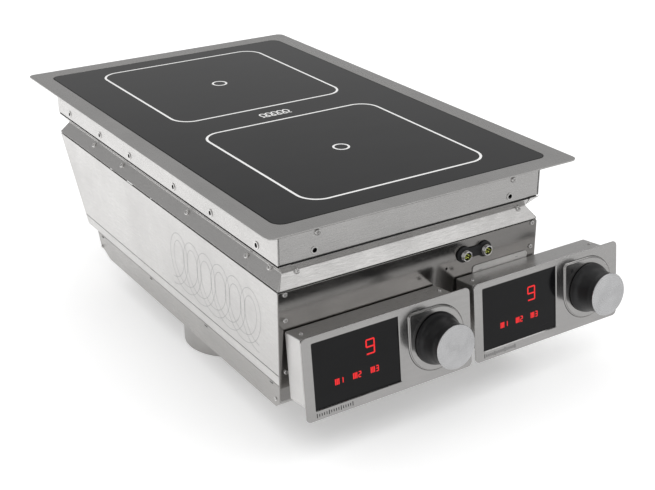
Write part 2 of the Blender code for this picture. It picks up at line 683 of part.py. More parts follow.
def build_electronics(parts, cutters, finish):
    bay_x = HOUSE_X / 2
    for side, y in (("front", FRONT_Y + 127.0), ("rear", FRONT_Y + 337.0)):
        spot = (bay_x, y, 0)
        top = board_on_pillars(f"{side}_power_board", BOARD_X, BOARD_Y, spot, parts, cutters, finish) + GAP
        comb = [(-SINK_WIDTH / 2, top), (-SINK_WIDTH / 2, top + SINK_BASE)]
        pitch = (SINK_WIDTH - SINK_FIN) / (SINK_FINS - 1)
        for fin in range(SINK_FINS):
            start = -SINK_WIDTH / 2 + fin * pitch
            inner = [(start, top + SINK_BASE)] if fin else []
            comb += [*inner, (start, top + SINK_HEIGHT), (start + SINK_FIN, top + SINK_HEIGHT)]
            comb += [(start + SINK_FIN, top + SINK_BASE)] if fin < SINK_FINS - 1 else []
        comb += [(SINK_WIDTH / 2, top)]
        comb = [comb[0], *comb[2:]]
        plate(f"{side}_heat_sink", [comb[::-1]], -SINK_LENGTH / 2, SINK_LENGTH / 2, finish["aluminium"], parts,
              location=spot, rotation=(90, 0, 0))
    filter_spot = (-bay_x, FRONT_Y + 412.0, 0)
    base = board_on_pillars("filter_board", 120.0, 110.0, filter_spot, parts, cutters, finish) + GAP
    turned("filter_choke", [(20, base + 16), (20, base), (10, base), (10, base + 16)], finish["ferrite"], parts,
           location=(-bay_x - 30, filter_spot[1] - 18, 0), steps=24)
    turned("filter_capacitor", [(0, base + 34), (15, base + 34), (16, base + 33), (16, base), (0, base)],
           finish["plastic"], parts, location=(-bay_x + 30, filter_spot[1] - 18, 0), steps=24)
    place("terminal_block", box_mesh("terminal_block", (-38, -12, base), (38, 12, base + 20)), finish["plastic"],
          parts, location=(-bay_x, filter_spot[1] + 36, 0))


# ---------------------------------------------------------------- front panel fittings

def build_sockets(parts, cutters, finish):
    socket_z = PANEL_TOP - SOCKET_DROP
    plate_y = FRONT_Y - GAP
    left, right = SOCKETS
    waist = SOCKET_PLATE_RADIUS * 0.62
    around_left = arc(SOCKET_PLATE_RADIUS, 40, 320, 14, (left, socket_z))
    around_right = arc(SOCKET_PLATE_RADIUS, 220, 500, 14, (right, socket_z))
    upper = [(left + SOCKET_SPACING / 2, socket_z + waist)]
    lower = [(left + SOCKET_SPACING / 2, socket_z - waist)]
    dog_bone = around_left + lower + around_right + upper
    bore = SOCKET_RADIUS - 1.0 + GAP
    plate("socket_plate", [dog_bone, circle(bore, (left, socket_z), 16), circle(bore, (right, socket_z), 16)],
          0, SOCKET_PLATE, finish["plastic"], parts, location=(0, plate_y, 0), rotation=(90, 0, 0))
    for name, x in zip(("left_socket", "right_socket"), SOCKETS):
        mouth = SOCKET_PLATE + SOCKET_PROUD
        floor = mouth - SOCKET_DEPTH
        base = SOCKET_PLATE + GAP
        turned(name, [
            (0.0, floor), (SOCKET_BORE, floor), (SOCKET_BORE, mouth), (SOCKET_RADIUS, mouth), (SOCKET_RADIUS, base),
            (SOCKET_RADIUS - 1.0, base), (SOCKET_RADIUS - 1.0, -8.0), (0.0, -8.0)],
            finish["chrome"], parts, location=(x, plate_y, socket_z), rotation=(90, 0, 0), steps=20)
    label_high = PANEL_TOP - LABEL_DROP
    middle = ((LABEL_X[0] + LABEL_X[1]) / 2, label_high - LABEL_HEIGHT / 2)
    plate("label_plate", [rounded_rectangle((LABEL_X[1] - LABEL_X[0]) / 2, LABEL_HEIGHT / 2, LABEL_CORNER, middle, 3)],
          0, LABEL_THICK, finish["steel"], parts, location=(0, plate_y, 0), rotation=(90, 0, 0))


# ---------------------------------------------------------------- control modules

def teardrop(radius, corner, steps=28):
    """Circle with one squared corner, towards -X and +Y, that carries the index mark."""
    round_part = arc(radius, -180, 90, steps, (KNOB_X, KNOB_Y))
    square_x = KNOB_X - radius + corner
    square_y = KNOB_Y + radius - corner
    return round_part + arc(corner, 90, 180, 3, (square_x, square_y))


def build_module(side, centre_x, parts, cutters, finish):
    """Remote control: folded box, face plate with a pressed boss, display and turning knob."""
    tilt = math.radians(MODULE_TILT)
    up = Vector((0, math.sin(tilt), math.cos(tilt)))
    out = Vector((0, -math.cos(tilt), math.sin(tilt)))
    top_rear = FRONT_Y - MODULE_STANDOFF
    low_rear = Vector((centre_x, top_rear - FACE_Y * math.sin(tilt), PAN_Z))
    middle = low_rear + up * (FACE_Y / 2) + out * (BOX_DEPTH + FRAME_WALL)
    pose = empty(f"{side}_module_pose", parts, middle, (90 - MODULE_TILT, 0, 0))

    window_half = ((WINDOW_X[1] - WINDOW_X[0]) / 2, (WINDOW_Y[1] - WINDOW_Y[0]) / 2)
    window_middle = ((WINDOW_X[0] + WINDOW_X[1]) / 2, (WINDOW_Y[0] + WINDOW_Y[1]) / 2)
    window = rounded_rectangle(*window_half, 0.5, window_middle, 1)
    bush = circle(SHAFT_RADIUS + 2 + GAP, (KNOB_X, KNOB_Y), 16)
    face = plate(f"{side}_face_plate", [rounded_rectangle(FACE_X / 2, FACE_Y / 2, FACE_CORNER), window, bush],
                 -FRAME_WALL, 0, finish["steel"], parts, pose)
    boss = plate(f"{side}_boss", [teardrop(BOSS_RADIUS, BOSS_CORNER), bush], -FRAME_WALL / 2, BOSS_HEIGHT, None,
                 cutters, pose)
    boolean(face, as_cutter(boss), "UNION")

    box_left = -FACE_X / 2 + GAP
    box_right = box_left + BOX_WIDTH
    box_high = FACE_Y / 2 - GAP
    front = -FRAME_WALL - GAP
    back = -FRAME_WALL - BOX_DEPTH
    shell = place(f"{side}_module_box", box_mesh(f"{side}_module_box", (box_left, BOX_LOW, back),
                  (box_right, box_high, front)), finish["steel"], parts, pose)
    hollow = place(f"{side}_module_hollow", box_mesh(f"{side}_module_hollow",
                   (box_left + PANEL_WALL, BOX_LOW + PANEL_WALL, back + PANEL_WALL),
                   (box_right - PANEL_WALL, box_high - PANEL_WALL, front + 5)), None, cutters, pose)
    boolean(shell, as_cutter(hollow), "DIFFERENCE")
    cable_hole = place(f"{side}_cable_hole", cylinder_mesh(f"{side}_cable_hole", 8, back - 5, back + 5, 16, "Z",
                       (0, CABLE_Y)), None, cutters, pose)
    boolean(shell, as_cutter(cable_hole), "DIFFERENCE")

    glass_high = front
    lap = WINDOW_LAP
    notch_x = (WINDOW_X[0] - lap - GAP, WINDOW_X[1] + lap + GAP)
    notch = place(f"{side}_window_notch", box_mesh(f"{side}_window_notch",
                  (notch_x[0], BOX_LOW - 1, glass_high - WINDOW_THICK - GAP),
                  (notch_x[1], BOX_LOW + PANEL_WALL + 1, glass_high + 1)), None, cutters, pose)
    boolean(shell, as_cutter(notch), "DIFFERENCE")
    place(f"{side}_display_window", box_mesh(f"{side}_display_window",
          (WINDOW_X[0] - lap, WINDOW_Y[0] - lap, glass_high - WINDOW_THICK),
          (WINDOW_X[1] + lap, WINDOW_Y[1] + lap, glass_high)), finish["glass"], parts, pose)
    board_high = glass_high - WINDOW_THICK - GAP
    place(f"{side}_display_board", box_mesh(f"{side}_display_board",
          (WINDOW_X[0] - lap, BOX_LOW + PANEL_WALL + GAP, board_high - BOARD_THICK),
          (WINDOW_X[1] + lap, WINDOW_Y[1] + lap, board_high)), finish["board"], parts, pose)

    axis = (KNOB_X, KNOB_Y, 0)
    knob_pose = empty(f"{side}_knob_pose", parts, (0, 0, 0))
    knob_pose.parent = pose
    knob_pose.location = Vector(axis) * MM
    encoder_high = front - GAP
    shaft_low = encoder_high - 6.0
    turned(f"{side}_encoder", [
        (0, shaft_low - GAP), (SHAFT_RADIUS + GAP, shaft_low - GAP), (SHAFT_RADIUS + GAP, BOSS_HEIGHT),
        (SHAFT_RADIUS + 2, BOSS_HEIGHT), (SHAFT_RADIUS + 2, encoder_high), (12, encoder_high),
        (12, encoder_high - 12), (0, encoder_high - 12)],
        finish["plastic"], parts, pose, axis, steps=20)
    socket_depth = KNOB_HEIGHT - CAP_THICK - 8.0
    turned(f"{side}_knob_shaft", [
        (0, socket_depth - GAP), (SHAFT_RADIUS, socket_depth - GAP), (SHAFT_RADIUS, shaft_low), (0, shaft_low)],
        finish["brass"], parts, knob_pose, steps=16)
    knob_low = BOSS_HEIGHT + RUN
    knob_high = KNOB_HEIGHT - CAP_THICK - GAP
    skirt_wall = 2.5
    bore = SHAFT_RADIUS + GAP
    turned(f"{side}_knob", [
        (0, knob_high), (CAP_RADIUS - 0.8, knob_high), (CAP_RADIUS - 0.4, knob_high - 1.5),
        (KNOB_WAIST, knob_high - 7), (KNOB_WAIST + 0.6, knob_high - 12), (KNOB_RADIUS - 2.6, knob_low + 9),
        (KNOB_RADIUS - 0.7, knob_low + 5), (KNOB_RADIUS, knob_low + 1), (KNOB_RADIUS, knob_low),
        (KNOB_RADIUS - skirt_wall, knob_low), (KNOB_RADIUS - skirt_wall, knob_low + 3.5),
        (KNOB_RADIUS - 7, knob_high - 14), (10, knob_high - 8), (bore + 4, knob_high - 12),
        (bore + 4, knob_low + 2), (bore, knob_low + 2), (bore, socket_depth), (0, socket_depth)],
        finish["plastic"], parts, knob_pose, steps=32)
    turned(f"{side}_knob_cap", [
        (0, KNOB_HEIGHT), (CAP_RADIUS - 0.6, KNOB_HEIGHT), (CAP_RADIUS, KNOB_HEIGHT - 0.6),
        (CAP_RADIUS, KNOB_HEIGHT - CAP_THICK), (0, KNOB_HEIGHT - CAP_THICK)],
        finish["aluminium"], parts, knob_pose, steps=32)


# Sizes that need the ones above
PAN_REAR_Y = rear_y(TRAY_Z) - PAN_REAR_INSET
FAN_THROAT = SPIGOT_RADIUS - 3.0
SOCKETS = (SOCKET_X, SOCKET_X + SOCKET_SPACING)
COIL_TRAY_UNDER = GLASS_UNDER - INSULATION_THICK - COIL_THICK - CARRIER_THICK - FERRITE_THICK - TRAY_SHEET - 5 * GAP
SLOT_COLUMNS = 12
SLOT_PITCH = 22.0
SLOT_WIDTH = 6.0
SLOT_LENGTH = 34.0
SLOT_GAP = 5.0
GLAND_RADIUS = 8.0
GLAND_X = 150.0
GLAND_RISE = -35.0
GUARD_SPOKE = 5.0
GUARD_HUB = 8.0
GUARD_BAR = 4.0
GUARD_BANDS = (14.0, 12.0, 11.0)   # widths of the openings, in proportion


def finishes():
    return {
        "steel": make_material("brushed_steel", (0.56, 0.55, 0.54), 0.32, 1.0),
        "glass": make_material("black_glass", (0.012, 0.012, 0.013), 0.06, 0.0),
        "rubber": make_material("black_sealant", (0.02, 0.02, 0.02), 0.6, 0.0),
        "plastic": make_material("black_plastic", (0.025, 0.025, 0.027), 0.4, 0.0),
        "aluminium": make_material("aluminium", (0.7, 0.7, 0.7), 0.35, 1.0),
        "copper": make_material("litz_copper", (0.72, 0.32, 0.15), 0.4, 1.0),
        "mica": make_material("mica", (0.75, 0.7, 0.58), 0.7, 0.0),
        "ferrite": make_material("ferrite", (0.08, 0.08, 0.085), 0.55, 0.0),
        "ceramic": make_material("sensor_ceramic", (0.85, 0.83, 0.78), 0.5, 0.0),
        "board": make_material("circuit_board", (0.03, 0.16, 0.07), 0.45, 0.0),
        "chrome": make_material("chrome", (0.8, 0.8, 0.8), 0.12, 1.0),
        "brass": make_material("brass", (0.75, 0.58, 0.28), 0.3, 1.0),
    }


def main():
    clear_scene()
    parts = make_collection(COLLECTION)
    cutters = make_collection("cutters")
    finish = finishes()
    build_top(parts, cutters, finish)
    build_housing(parts, cutters, finish)
    build_air_path(parts, cutters, finish)
    build_coils(parts, cutters, finish)
    build_electronics(parts, cutters, finish)
    build_sockets(parts, cutters, finish)
    build_module("left", MODULE_LEFT_X, parts, cutters, finish)
    build_module("right", MODULE_LEFT_X + FACE_X + MODULE_GAP, parts, cutters, finish)
    bpy.context.view_layer.update()


main()
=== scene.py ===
"""Looks of a drop-in twin-zone induction cooktop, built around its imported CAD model.

Lengths inside this script are millimetres in the CAD frame: +X to the cook's right, +Y to the rear, +Z up,
with the worktop's surface at zero. They become metres only when a mesh is made.
"""

from __future__ import annotations

import json
import logging
import math
from abc import ABC, abstractmethod
from dataclasses import dataclass, field
from enum import Enum
from typing import Any, Iterable, Sequence

import bmesh
import bpy
import numpy as np
from mathutils import Matrix, Vector
from mathutils.geometry import tessellate_polygon

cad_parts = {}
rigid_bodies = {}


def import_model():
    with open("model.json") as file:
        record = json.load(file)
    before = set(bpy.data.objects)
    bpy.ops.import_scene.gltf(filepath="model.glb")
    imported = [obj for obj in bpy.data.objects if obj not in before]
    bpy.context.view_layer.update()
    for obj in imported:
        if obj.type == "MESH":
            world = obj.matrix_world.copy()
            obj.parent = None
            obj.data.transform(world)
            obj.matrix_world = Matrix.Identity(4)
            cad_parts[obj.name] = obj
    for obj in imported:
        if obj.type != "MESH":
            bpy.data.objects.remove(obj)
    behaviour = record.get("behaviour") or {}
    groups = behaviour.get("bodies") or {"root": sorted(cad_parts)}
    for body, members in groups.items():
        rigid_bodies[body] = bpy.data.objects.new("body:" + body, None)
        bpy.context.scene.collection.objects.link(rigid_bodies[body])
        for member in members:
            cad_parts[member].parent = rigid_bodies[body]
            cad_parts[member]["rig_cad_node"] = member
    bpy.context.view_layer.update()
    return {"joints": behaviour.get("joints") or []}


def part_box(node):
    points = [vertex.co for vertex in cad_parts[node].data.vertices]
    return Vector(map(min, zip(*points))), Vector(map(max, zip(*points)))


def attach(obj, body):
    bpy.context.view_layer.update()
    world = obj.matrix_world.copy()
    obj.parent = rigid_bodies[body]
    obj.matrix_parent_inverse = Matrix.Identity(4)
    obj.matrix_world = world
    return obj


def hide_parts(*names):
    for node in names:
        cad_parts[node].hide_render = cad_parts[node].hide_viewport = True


log = logging.getLogger("cooktop")

MM = 0.001
ROOT_BODY = "cooktop"


# ====================================================================== placing and outlines


@dataclass(frozen=True)
class Placement:
    """Frame of a face: right and up lie in it, out points away from the object.

    Attributes:
        origin: Place of the face's own zero, in millimetres.
        right: Unit vector along the face.
        up: Unit vector along the face, a quarter turn anticlockwise from right.
        out: Unit vector away from the face.
    """

    origin: tuple[float, float, float]
    right: tuple[float, float, float]
    up: tuple[float, float, float]
    out: tuple[float, float, float]

    def at(self, flat: np.ndarray, height: float | np.ndarray = 0.0) -> np.ndarray:
        """Move points of the face into the model.

        Args:
            flat: Points as (..., 2) along right and up.
            height: Distance along out, one for all or one for each point.

        Returns:
            Points as (..., 3) in millimetres.
        """
        axes = np.array([self.right, self.up])
        lift = np.asarray(height, dtype=float)[..., None] * np.array(self.out)
        return np.array(self.origin) + np.asarray(flat, dtype=float) @ axes + lift

    def moved(self, across: float, along: float, away: float = 0.0) -> "Placement":
        """Same directions, with the origin moved along right, up and out by these millimetres."""
        origin = self.at(np.array([across, along]), away)
        return Placement(tuple(origin), self.right, self.up, self.out)


class Side(Enum):
    """Faces of the housing, each with its right, up and out directions."""

    TOP = ((1, 0, 0), (0, 1, 0), (0, 0, 1))
    UNDER = ((1, 0, 0), (0, -1, 0), (0, 0, -1))
    FRONT = ((1, 0, 0), (0, 0, 1), (0, -1, 0))
    REAR = ((-1, 0, 0), (0, 0, 1), (0, 1, 0))
    LEFT = ((0, -1, 0), (0, 0, 1), (-1, 0, 0))
    RIGHT = ((0, 1, 0), (0, 0, 1), (1, 0, 0))

    def through(self, x: float = 0.0, y: float = 0.0, z: float = 0.0) -> Placement:
        """Placement on this side with its origin at these coordinates."""
        return Placement((x, y, z), *self.value)


class Outline(ABC):
    """Closed plane outline, anticlockwise, that can be drawn with an even inset."""

    @abstractmethod
    def ring(self, inset: float = 0.0) -> np.ndarray:
        """Points of the outline.

        Args:
            inset: Distance moved inwards, or outwards when negative.

        Returns:
            Points as (n, 2).
        """


@dataclass(frozen=True)
class Polygon(Outline):
    """Straight-sided outline with rounded corners.

    Attributes:
        corners: Corner points, anticlockwise.
        radius: Corner radius.
        steps: Segments in each corner.
    """

    corners: tuple[tuple[float, float], ...]
    radius: float = 1.0
    steps: int = 4

    def ring(self, inset: float = 0.0) -> np.ndarray:
        """Points of the outline; every corner is an arc between its two moved sides.

        Args:
            inset: Distance moved inwards, or outwards when negative.

        Returns:
            Points as (n, 2).
        """
        corner = np.array(self.corners, dtype=float)
        leaving = np.roll(corner, -1, axis=0) - corner
        leaving /= np.linalg.norm(leaving, axis=1)[:, None]
        coming = np.roll(leaving, 1, axis=0)
        left = np.stack([-coming[:, 1], coming[:, 0]], axis=1)
        cross = coming[:, 0] * leaving[:, 1] - coming[:, 1] * leaving[:, 0]
        turn = np.arctan2(cross, np.sum(coming * leaving, axis=1))
        bend = np.sign(turn)
        corner = corner + left * inset + coming * (inset * np.tan(-turn / 2))[:, None]
        radius = np.maximum(self.radius - bend * inset, 0.02)
        reach = radius * np.tan(np.abs(turn) / 2)
        centre = corner - coming * reach[:, None] + left * (bend * radius)[:, None]
        start = np.arctan2(*(-left * bend[:, None]).T[::-1])
        angle = start[:, None] + turn[:, None] * np.linspace(0.0, 1.0, self.steps + 1)
        arc = np.stack([np.cos(angle), np.sin(angle)], axis=-1) * radius[:, None, None]
        return (centre[:, None, :] + arc).reshape(-1, 2)


def rounded(
    half_x: float, half_y: float, radius: float, centre: Sequence[float] = (0.0, 0.0), steps: int = 4
) -> Polygon:
    """Rectangle with rounded corners.

    Args:
        half_x: Half of its width.
        half_y: Half of its height.
        radius: Corner radius.
        centre: Middle point.
        steps: Segments in each corner.

    Returns:
        The outline.
    """
    x, y = centre
    left, right, low, high = x - half_x, x + half_x, y - half_y, y + half_y
    corners = ((left, low), (right, low), (right, high), (left, high))
    return Polygon(corners, radius, steps)


@dataclass(frozen=True)
class Round(Outline):
    """Circle.

    Attributes:
        radius: Its radius.
        centre: Its middle.
        sides: Number of points.
    """

    radius: float
    centre: tuple[float, float] = (0.0, 0.0)
    sides: int = 32

    def ring(self, inset: float = 0.0) -> np.ndarray:
        """Even points round the circle, moved inwards by the inset."""
        turn = np.arange(self.sides) * (2 * math.pi / self.sides)
        return np.array(self.centre) + (self.radius - inset) * np.stack([np.cos(turn), np.sin(turn)], axis=1)


@dataclass(frozen=True)
class Teardrop(Outline):
    """Circle with one squared corner towards -X and +Y.

    Attributes:
        radius: Radius of the round part.
        corner: Radius of the squared corner.
        centre: Middle of the round part.
        steps: Segments in the round part.
    """

    radius: float
    corner: float
    centre: tuple[float, float]
    steps: int = 60

    def ring(self, inset: float = 0.0) -> np.ndarray:
        """Points of the outline.

        Args:
            inset: Distance moved inwards, or outwards when negative.

        Returns:
            Points as (n, 2).
        """
        middle = np.array(self.centre)
        turn = np.radians(np.linspace(-180.0, 90.0, self.steps + 1))
        wide = middle + (self.radius - inset) * np.stack([np.cos(turn), np.sin(turn)], axis=1)
        turn = np.radians(np.linspace(90.0, 180.0, 9))
        middle = middle + (self.radius - self.corner) * np.array([-1.0, 1.0])
        tight = middle + (self.corner - inset) * np.stack([np.cos(turn), np.sin(turn)], axis=1)
        return np.concatenate([wide, tight])


@dataclass(frozen=True)
class DogBone(Outline):
    """Two circles side by side, joined by a narrower web.

    Attributes:
        left: Middle of the left circle.
        right: Middle of the right circle.
        radius: Radius of both.
        web: Half of the web's height.
    """

    left: tuple[float, float]
    right: tuple[float, float]
    radius: float
    web: float

    def ring(self, inset: float = 0.0) -> np.ndarray:
        """Points of the outline.

        Args:
            inset: Distance moved inwards, or outwards when negative.

        Returns:
            Points as (n, 2).
        """
        size = self.radius - inset
        waist = self.web - inset
        turn = np.radians(np.linspace(42.0, 318.0, 24))
        around_left = np.array(self.left) + size * np.stack([np.cos(turn), np.sin(turn)], axis=1)
        around_right = np.array(self.right) - size * np.stack([np.cos(turn), np.sin(turn)], axis=1)
        middle = (np.array(self.left) + np.array(self.right)) / 2
        share = np.linspace(-0.28, 0.28, 7)
        width = self.right[0] - self.left[0]
        bow = waist + 6.0 * share**2
        under = middle + np.stack([share * width, -bow], axis=1)
        over = middle + np.stack([-share * width, bow], axis=1)
        return np.concatenate([around_left, under, around_right, over])


# ====================================================================== meshes


class Skin:
    """Surface gathered in parts and then made into one mesh object."""

    def __init__(self) -> None:
        """Start with no points and no faces."""
        self._points: list[np.ndarray] = []
        self._faces: list[tuple[int, ...]] = []
        self._smooth: list[bool] = []
        self._count = 0

    def grid(
        self,
        rows: np.ndarray,
        closed_u: bool = True,
        closed_v: bool = False,
        flat_over: float = math.inf,
    ) -> int:
        """Quad surface through rows of points, facing left of a row that is run forwards and stepped down.

        Args:
            rows: Points as (m, n, 3).
            closed_u: Join each row's end to its start.
            closed_v: Join the last row to the first.
            flat_over: Bands wider than this are shaded flat, so that broad faces stay true.

        Returns:
            Number of the first point, for a cap over a row.
        """
        m, n, _ = rows.shape
        start = self._count
        u = np.arange(n if closed_u else n - 1)
        v = np.arange(m if closed_v else m - 1)
        here = v[:, None] * n + u[None, :]
        beside = v[:, None] * n + ((u + 1) % n)[None, :]
        below = ((v + 1) % m)[:, None] * n + u[None, :]
        across = ((v + 1) % m)[:, None] * n + ((u + 1) % n)[None, :]
        quads = np.stack([here, below, across, beside], axis=-1).reshape(-1, 4) + start
        widths = np.linalg.norm(rows[(v + 1) % m] - rows[v], axis=-1).max(axis=1)
        self._points.append(rows.reshape(-1, 3))
        self._faces.extend(map(tuple, quads.tolist()))
        self._smooth.extend(np.repeat(widths <= flat_over, len(u)).tolist())
        self._count += m * n
        return start

    def cap(self, rings: Sequence[np.ndarray], starts: Sequence[int], facing: bool = True) -> None:
        """Flat face between an outer ring and any hole rings.

        Args:
            rings: Plane points of each ring as (n, 2), the outer one first.
            starts: Number of each ring's first point.
            facing: True for a face seen from the front.
        """
        flat = np.concatenate(rings)
        number = np.concatenate([np.arange(len(ring)) + start for ring, start in zip(rings, starts)])
        loops = [[Vector((*point, 0.0)) for point in ring] for ring in rings]
        triangles = np.array(tessellate_polygon(loops))
        first, second, third = (flat[triangles[:, index]] for index in range(3))
        one, two = second - first, third - first
        turned = one[:, 0] * two[:, 1] - one[:, 1] * two[:, 0] < 0
        triangles[turned] = triangles[turned][:, ::-1]
        faces = number[triangles if facing else triangles[:, ::-1]]
        self._faces.extend(map(tuple, faces.tolist()))
        self._smooth.extend([False] * len(faces))

    def lid(self, start: int, count: int, facing: bool = True) -> None:
        """One flat face over a convex ring.

        Args:
            start: Number of the ring's first point.
            count: Points in the ring.
            facing: True when the ring runs anticlockwise as seen.
        """
        loop = tuple(range(start, start + count))
        self._faces.append(loop if facing else loop[::-1])
        self._smooth.append(False)

    def build(self, name: str) -> bpy.types.Object:
        """Make the mesh object, with its origin at the model's origin.

        Args:
            name: Name of the object and its mesh.

        Returns:
            The object, linked to the scene.
        """
        mesh = bpy.data.meshes.new(name)
        mesh.from_pydata((np.concatenate(self._points) * MM).tolist(), [], self._faces)
        mesh.polygons.foreach_set("use_smooth", self._smooth)
        mesh.update()
        made = bpy.data.objects.new(name, mesh)
        bpy.context.scene.collection.objects.link(made)
        return made


def rounding(edge: float, steps: int) -> np.ndarray:
    """Quarter round from a face over to a wall.

    Args:
        edge: Radius.
        steps: Segments.

    Returns:
        Pairs of inset and depth as (steps + 1, 2).
    """
    turn = np.linspace(0.0, math.pi / 2, steps + 1)
    return edge * np.stack([1.0 - np.sin(turn), 1.0 - np.cos(turn)], axis=1)


def soft_rim(front: float, back: float, edge: float = 0.3, chamfer: bool = False) -> np.ndarray:
    """Edge of a sheet: rounded or chamfered in front, then straight to the back.

    Args:
        front: Height of the front face.
        back: Height of the back face.
        edge: Radius or width of the front edge.
        chamfer: True for a straight chamfer.

    Returns:
        Pairs of inset and height, from the front face to the back face.
    """
    soft = rounding(edge, 3)
    if chamfer:
        soft = np.array([[edge, 0.0], [edge - 0.06, 0.02], [0.06, edge - 0.06], [0.0, edge]])
    steps = np.stack([soft[:, 0], front - soft[:, 1]], axis=1)
    nick = min(0.1, (front - back) / 8)
    return np.concatenate([steps, [[0.0, back + nick], [nick, back]]])


def add_plate(
    skin: Skin,
    place: Placement,
    outer: Outline,
    holes: Sequence[Outline] = (),
    rim: np.ndarray | None = None,
    hole_rim: np.ndarray | None = None,
) -> None:
    """Flat sheet whose edges follow a rim profile, with holes.

    Args:
        skin: Where the faces go.
        place: Placement of the face.
        outer: Edge of the sheet.
        holes: Edges of its holes.
        rim: Inset and height of each step of the outer edge, from front to back.
        hole_rim: The same for the holes; the outer edge's where it isn't given.
    """
    rim = soft_rim(0.0, -1.2) if rim is None else rim
    hole_rim = rim if hole_rim is None else hole_rim
    rings, starts = [], []
    for order, outline in enumerate((outer, *holes)):
        steps = hole_rim if order else rim
        sign = -1.0 if order else 1.0
        flat = np.stack([outline.ring(sign * inset) for inset in steps[:, 0]])
        if order:
            flat = flat[:, ::-1]
        count = flat.shape[1]
        heights = np.repeat(steps[:, 1, None], count, axis=1)
        begin = skin.grid(place.at(flat, heights), flat_over=1.0)
        rings.append(flat)
        starts.append((begin, begin + (len(steps) - 1) * count))
    skin.cap([ring[0] for ring in rings], [start for start, _ in starts], True)
    skin.cap([ring[-1] for ring in rings], [end for _, end in starts], False)


def add_hoop(
    skin: Skin,
    section: Sequence[tuple[Outline, float, float]],
    closed: bool = True,
    flat_over: float = 1.6,
) -> None:
    """Section carried round a rectangle, given as outline, inset and height for each of its corners.

    Args:
        skin: Where the faces go.
        section: Outline, inset and height of each corner, down the outer side and up the inner side.
        closed: Join the last corner to the first.
        flat_over: Bands wider than this are shaded flat.
    """
    place = Side.TOP.through()
    rows = np.stack([place.at(outline.ring(inset), height) for outline, inset, height in section])
    skin.grid(rows, closed_v=closed, flat_over=flat_over)


def softened(
    path: Sequence[tuple[float, float]], radius: float, steps: int = 3, closed: bool = False
) -> np.ndarray:
    """Path with each corner replaced by a curve that leaves its two sides at one distance from the corner.

    The curve is the quadratic blend of the leaving point, the corner and the arriving point.

    Args:
        path: Corners as pairs.
        radius: Distance from each corner at which the curve starts, at most 0.45 of the shorter side.
        steps: Segments in each corner.
        closed: Treat the path as a loop.

    Returns:
        Points as (n, 2).
    """
    points = np.array(path, dtype=float)
    before, after = np.roll(points, 1, axis=0) - points, np.roll(points, -1, axis=0) - points
    length_before, length_after = np.linalg.norm(before, axis=1), np.linalg.norm(after, axis=1)
    reach = np.minimum(radius, 0.45 * np.minimum(length_before, length_after))[:, None]
    first = points + before / length_before[:, None] * reach
    last = points + after / length_after[:, None] * reach
    share = np.linspace(0.0, 1.0, steps + 1)[None, :, None]
    rest = 1 - share
    curve = rest**2 * first[:, None] + 2 * share * rest * points[:, None] + share**2 * last[:, None]
    if closed:
        return curve.reshape(-1, 2)
    return np.concatenate([points[:1], curve[1:-1].reshape(-1, 2), points[-1:]])


def flowing(points: Sequence[tuple[float, float]], between: int = 5) -> np.ndarray:
    """Smooth curve through points, each span a Catmull-Rom cubic with end points doubled.

    Args:
        points: Points that the curve passes through.
        between: Segments in each span.

    Returns:
        Points as (n, 2).
    """
    key = np.array(points, dtype=float)
    padded = np.concatenate([key[:1], key, key[-1:]])
    share = np.linspace(0.0, 1.0, between, endpoint=False)[None, :, None]
    a, b, c, d = (padded[index : len(key) - 1 + index, None] for index in range(4))
    curve = 0.5 * (
        2 * b
        + (c - a) * share
        + (2 * a - 5 * b + 4 * c - d) * share**2
        + (3 * b - a - 3 * c + d) * share**3
    )
    return np.concatenate([curve.reshape(-1, 2), key[-1:]])


def add_turned(
    skin: Skin,
    place: Placement,
    profile: Sequence[tuple[float, float]],
    sides: int = 48,
    closed: bool = False,
    flat_over: float = math.inf,
) -> None:
    """Profile turned about a placement's out direction.

    Args:
        skin: Where the faces go.
        place: Placement whose origin is on the axis.
        profile: Radius and height of each point, down the outer side.
        sides: Points round the axis.
        closed: Join the last point to the first; otherwise both ends are closed by discs.
        flat_over: Bands wider than this are shaded flat.
    """
    points = np.array(profile, dtype=float)
    turn = np.arange(sides) * (2 * math.pi / sides)
    circle = np.stack([np.cos(turn), np.sin(turn)], axis=1)
    flat = points[:, None, 0, None] * circle
    heights = np.repeat(points[:, 1, None], sides, axis=1)
    begin = skin.grid(place.at(flat, heights), closed_v=closed, flat_over=flat_over)
    if not closed:
        skin.lid(begin, sides, True)
        skin.lid(begin + (len(points) - 1) * sides, sides, False)


def add_ribbon(
    skin: Skin,
    place: Placement,
    path: np.ndarray,
    width: float,
    height: float = 0.05,
    closed: bool = False,
) -> None:
    """Thin raised stroke along a path on a face.

    Args:
        skin: Where the faces go.
        place: Placement of the face.
        path: Points as (n, 2).
        width: Width of the stroke.
        height: How far it stands off the face.
        closed: Join its end to its start.
    """
    if closed:
        along = np.roll(path, -1, axis=0) - np.roll(path, 1, axis=0)
    else:
        along = np.gradient(path, axis=0)
    along /= np.maximum(np.linalg.norm(along, axis=1), 1e-9)[:, None]
    left = np.stack([-along[:, 1], along[:, 0]], axis=1) * (width / 2)
    flat = np.stack([path - left, path - left, path + left, path + left], axis=1)
    heights = np.tile([0.0, height, height, 0.0], (len(path), 1))
    skin.grid(place.at(flat, heights), closed_u=False, closed_v=closed, flat_over=0.0)


def stroke(*points: tuple[float, float], spacing: float = 1.0) -> np.ndarray:
    """Straight-sided path with points set evenly along it.

    Args:
        points: Its corners.
        spacing: Longest step.

    Returns:
        Points as (n, 2).
    """
    parts = []
    for first, second in zip(points, points[1:]):
        start, end = np.array(first), np.array(second)
        count = max(2, int(np.linalg.norm(end - start) / spacing) + 1)
        parts.append(start + (end - start) * np.linspace(0.0, 1.0, count)[:, None])
    return np.concatenate([part if index == 0 else part[1:] for index, part in enumerate(parts)])


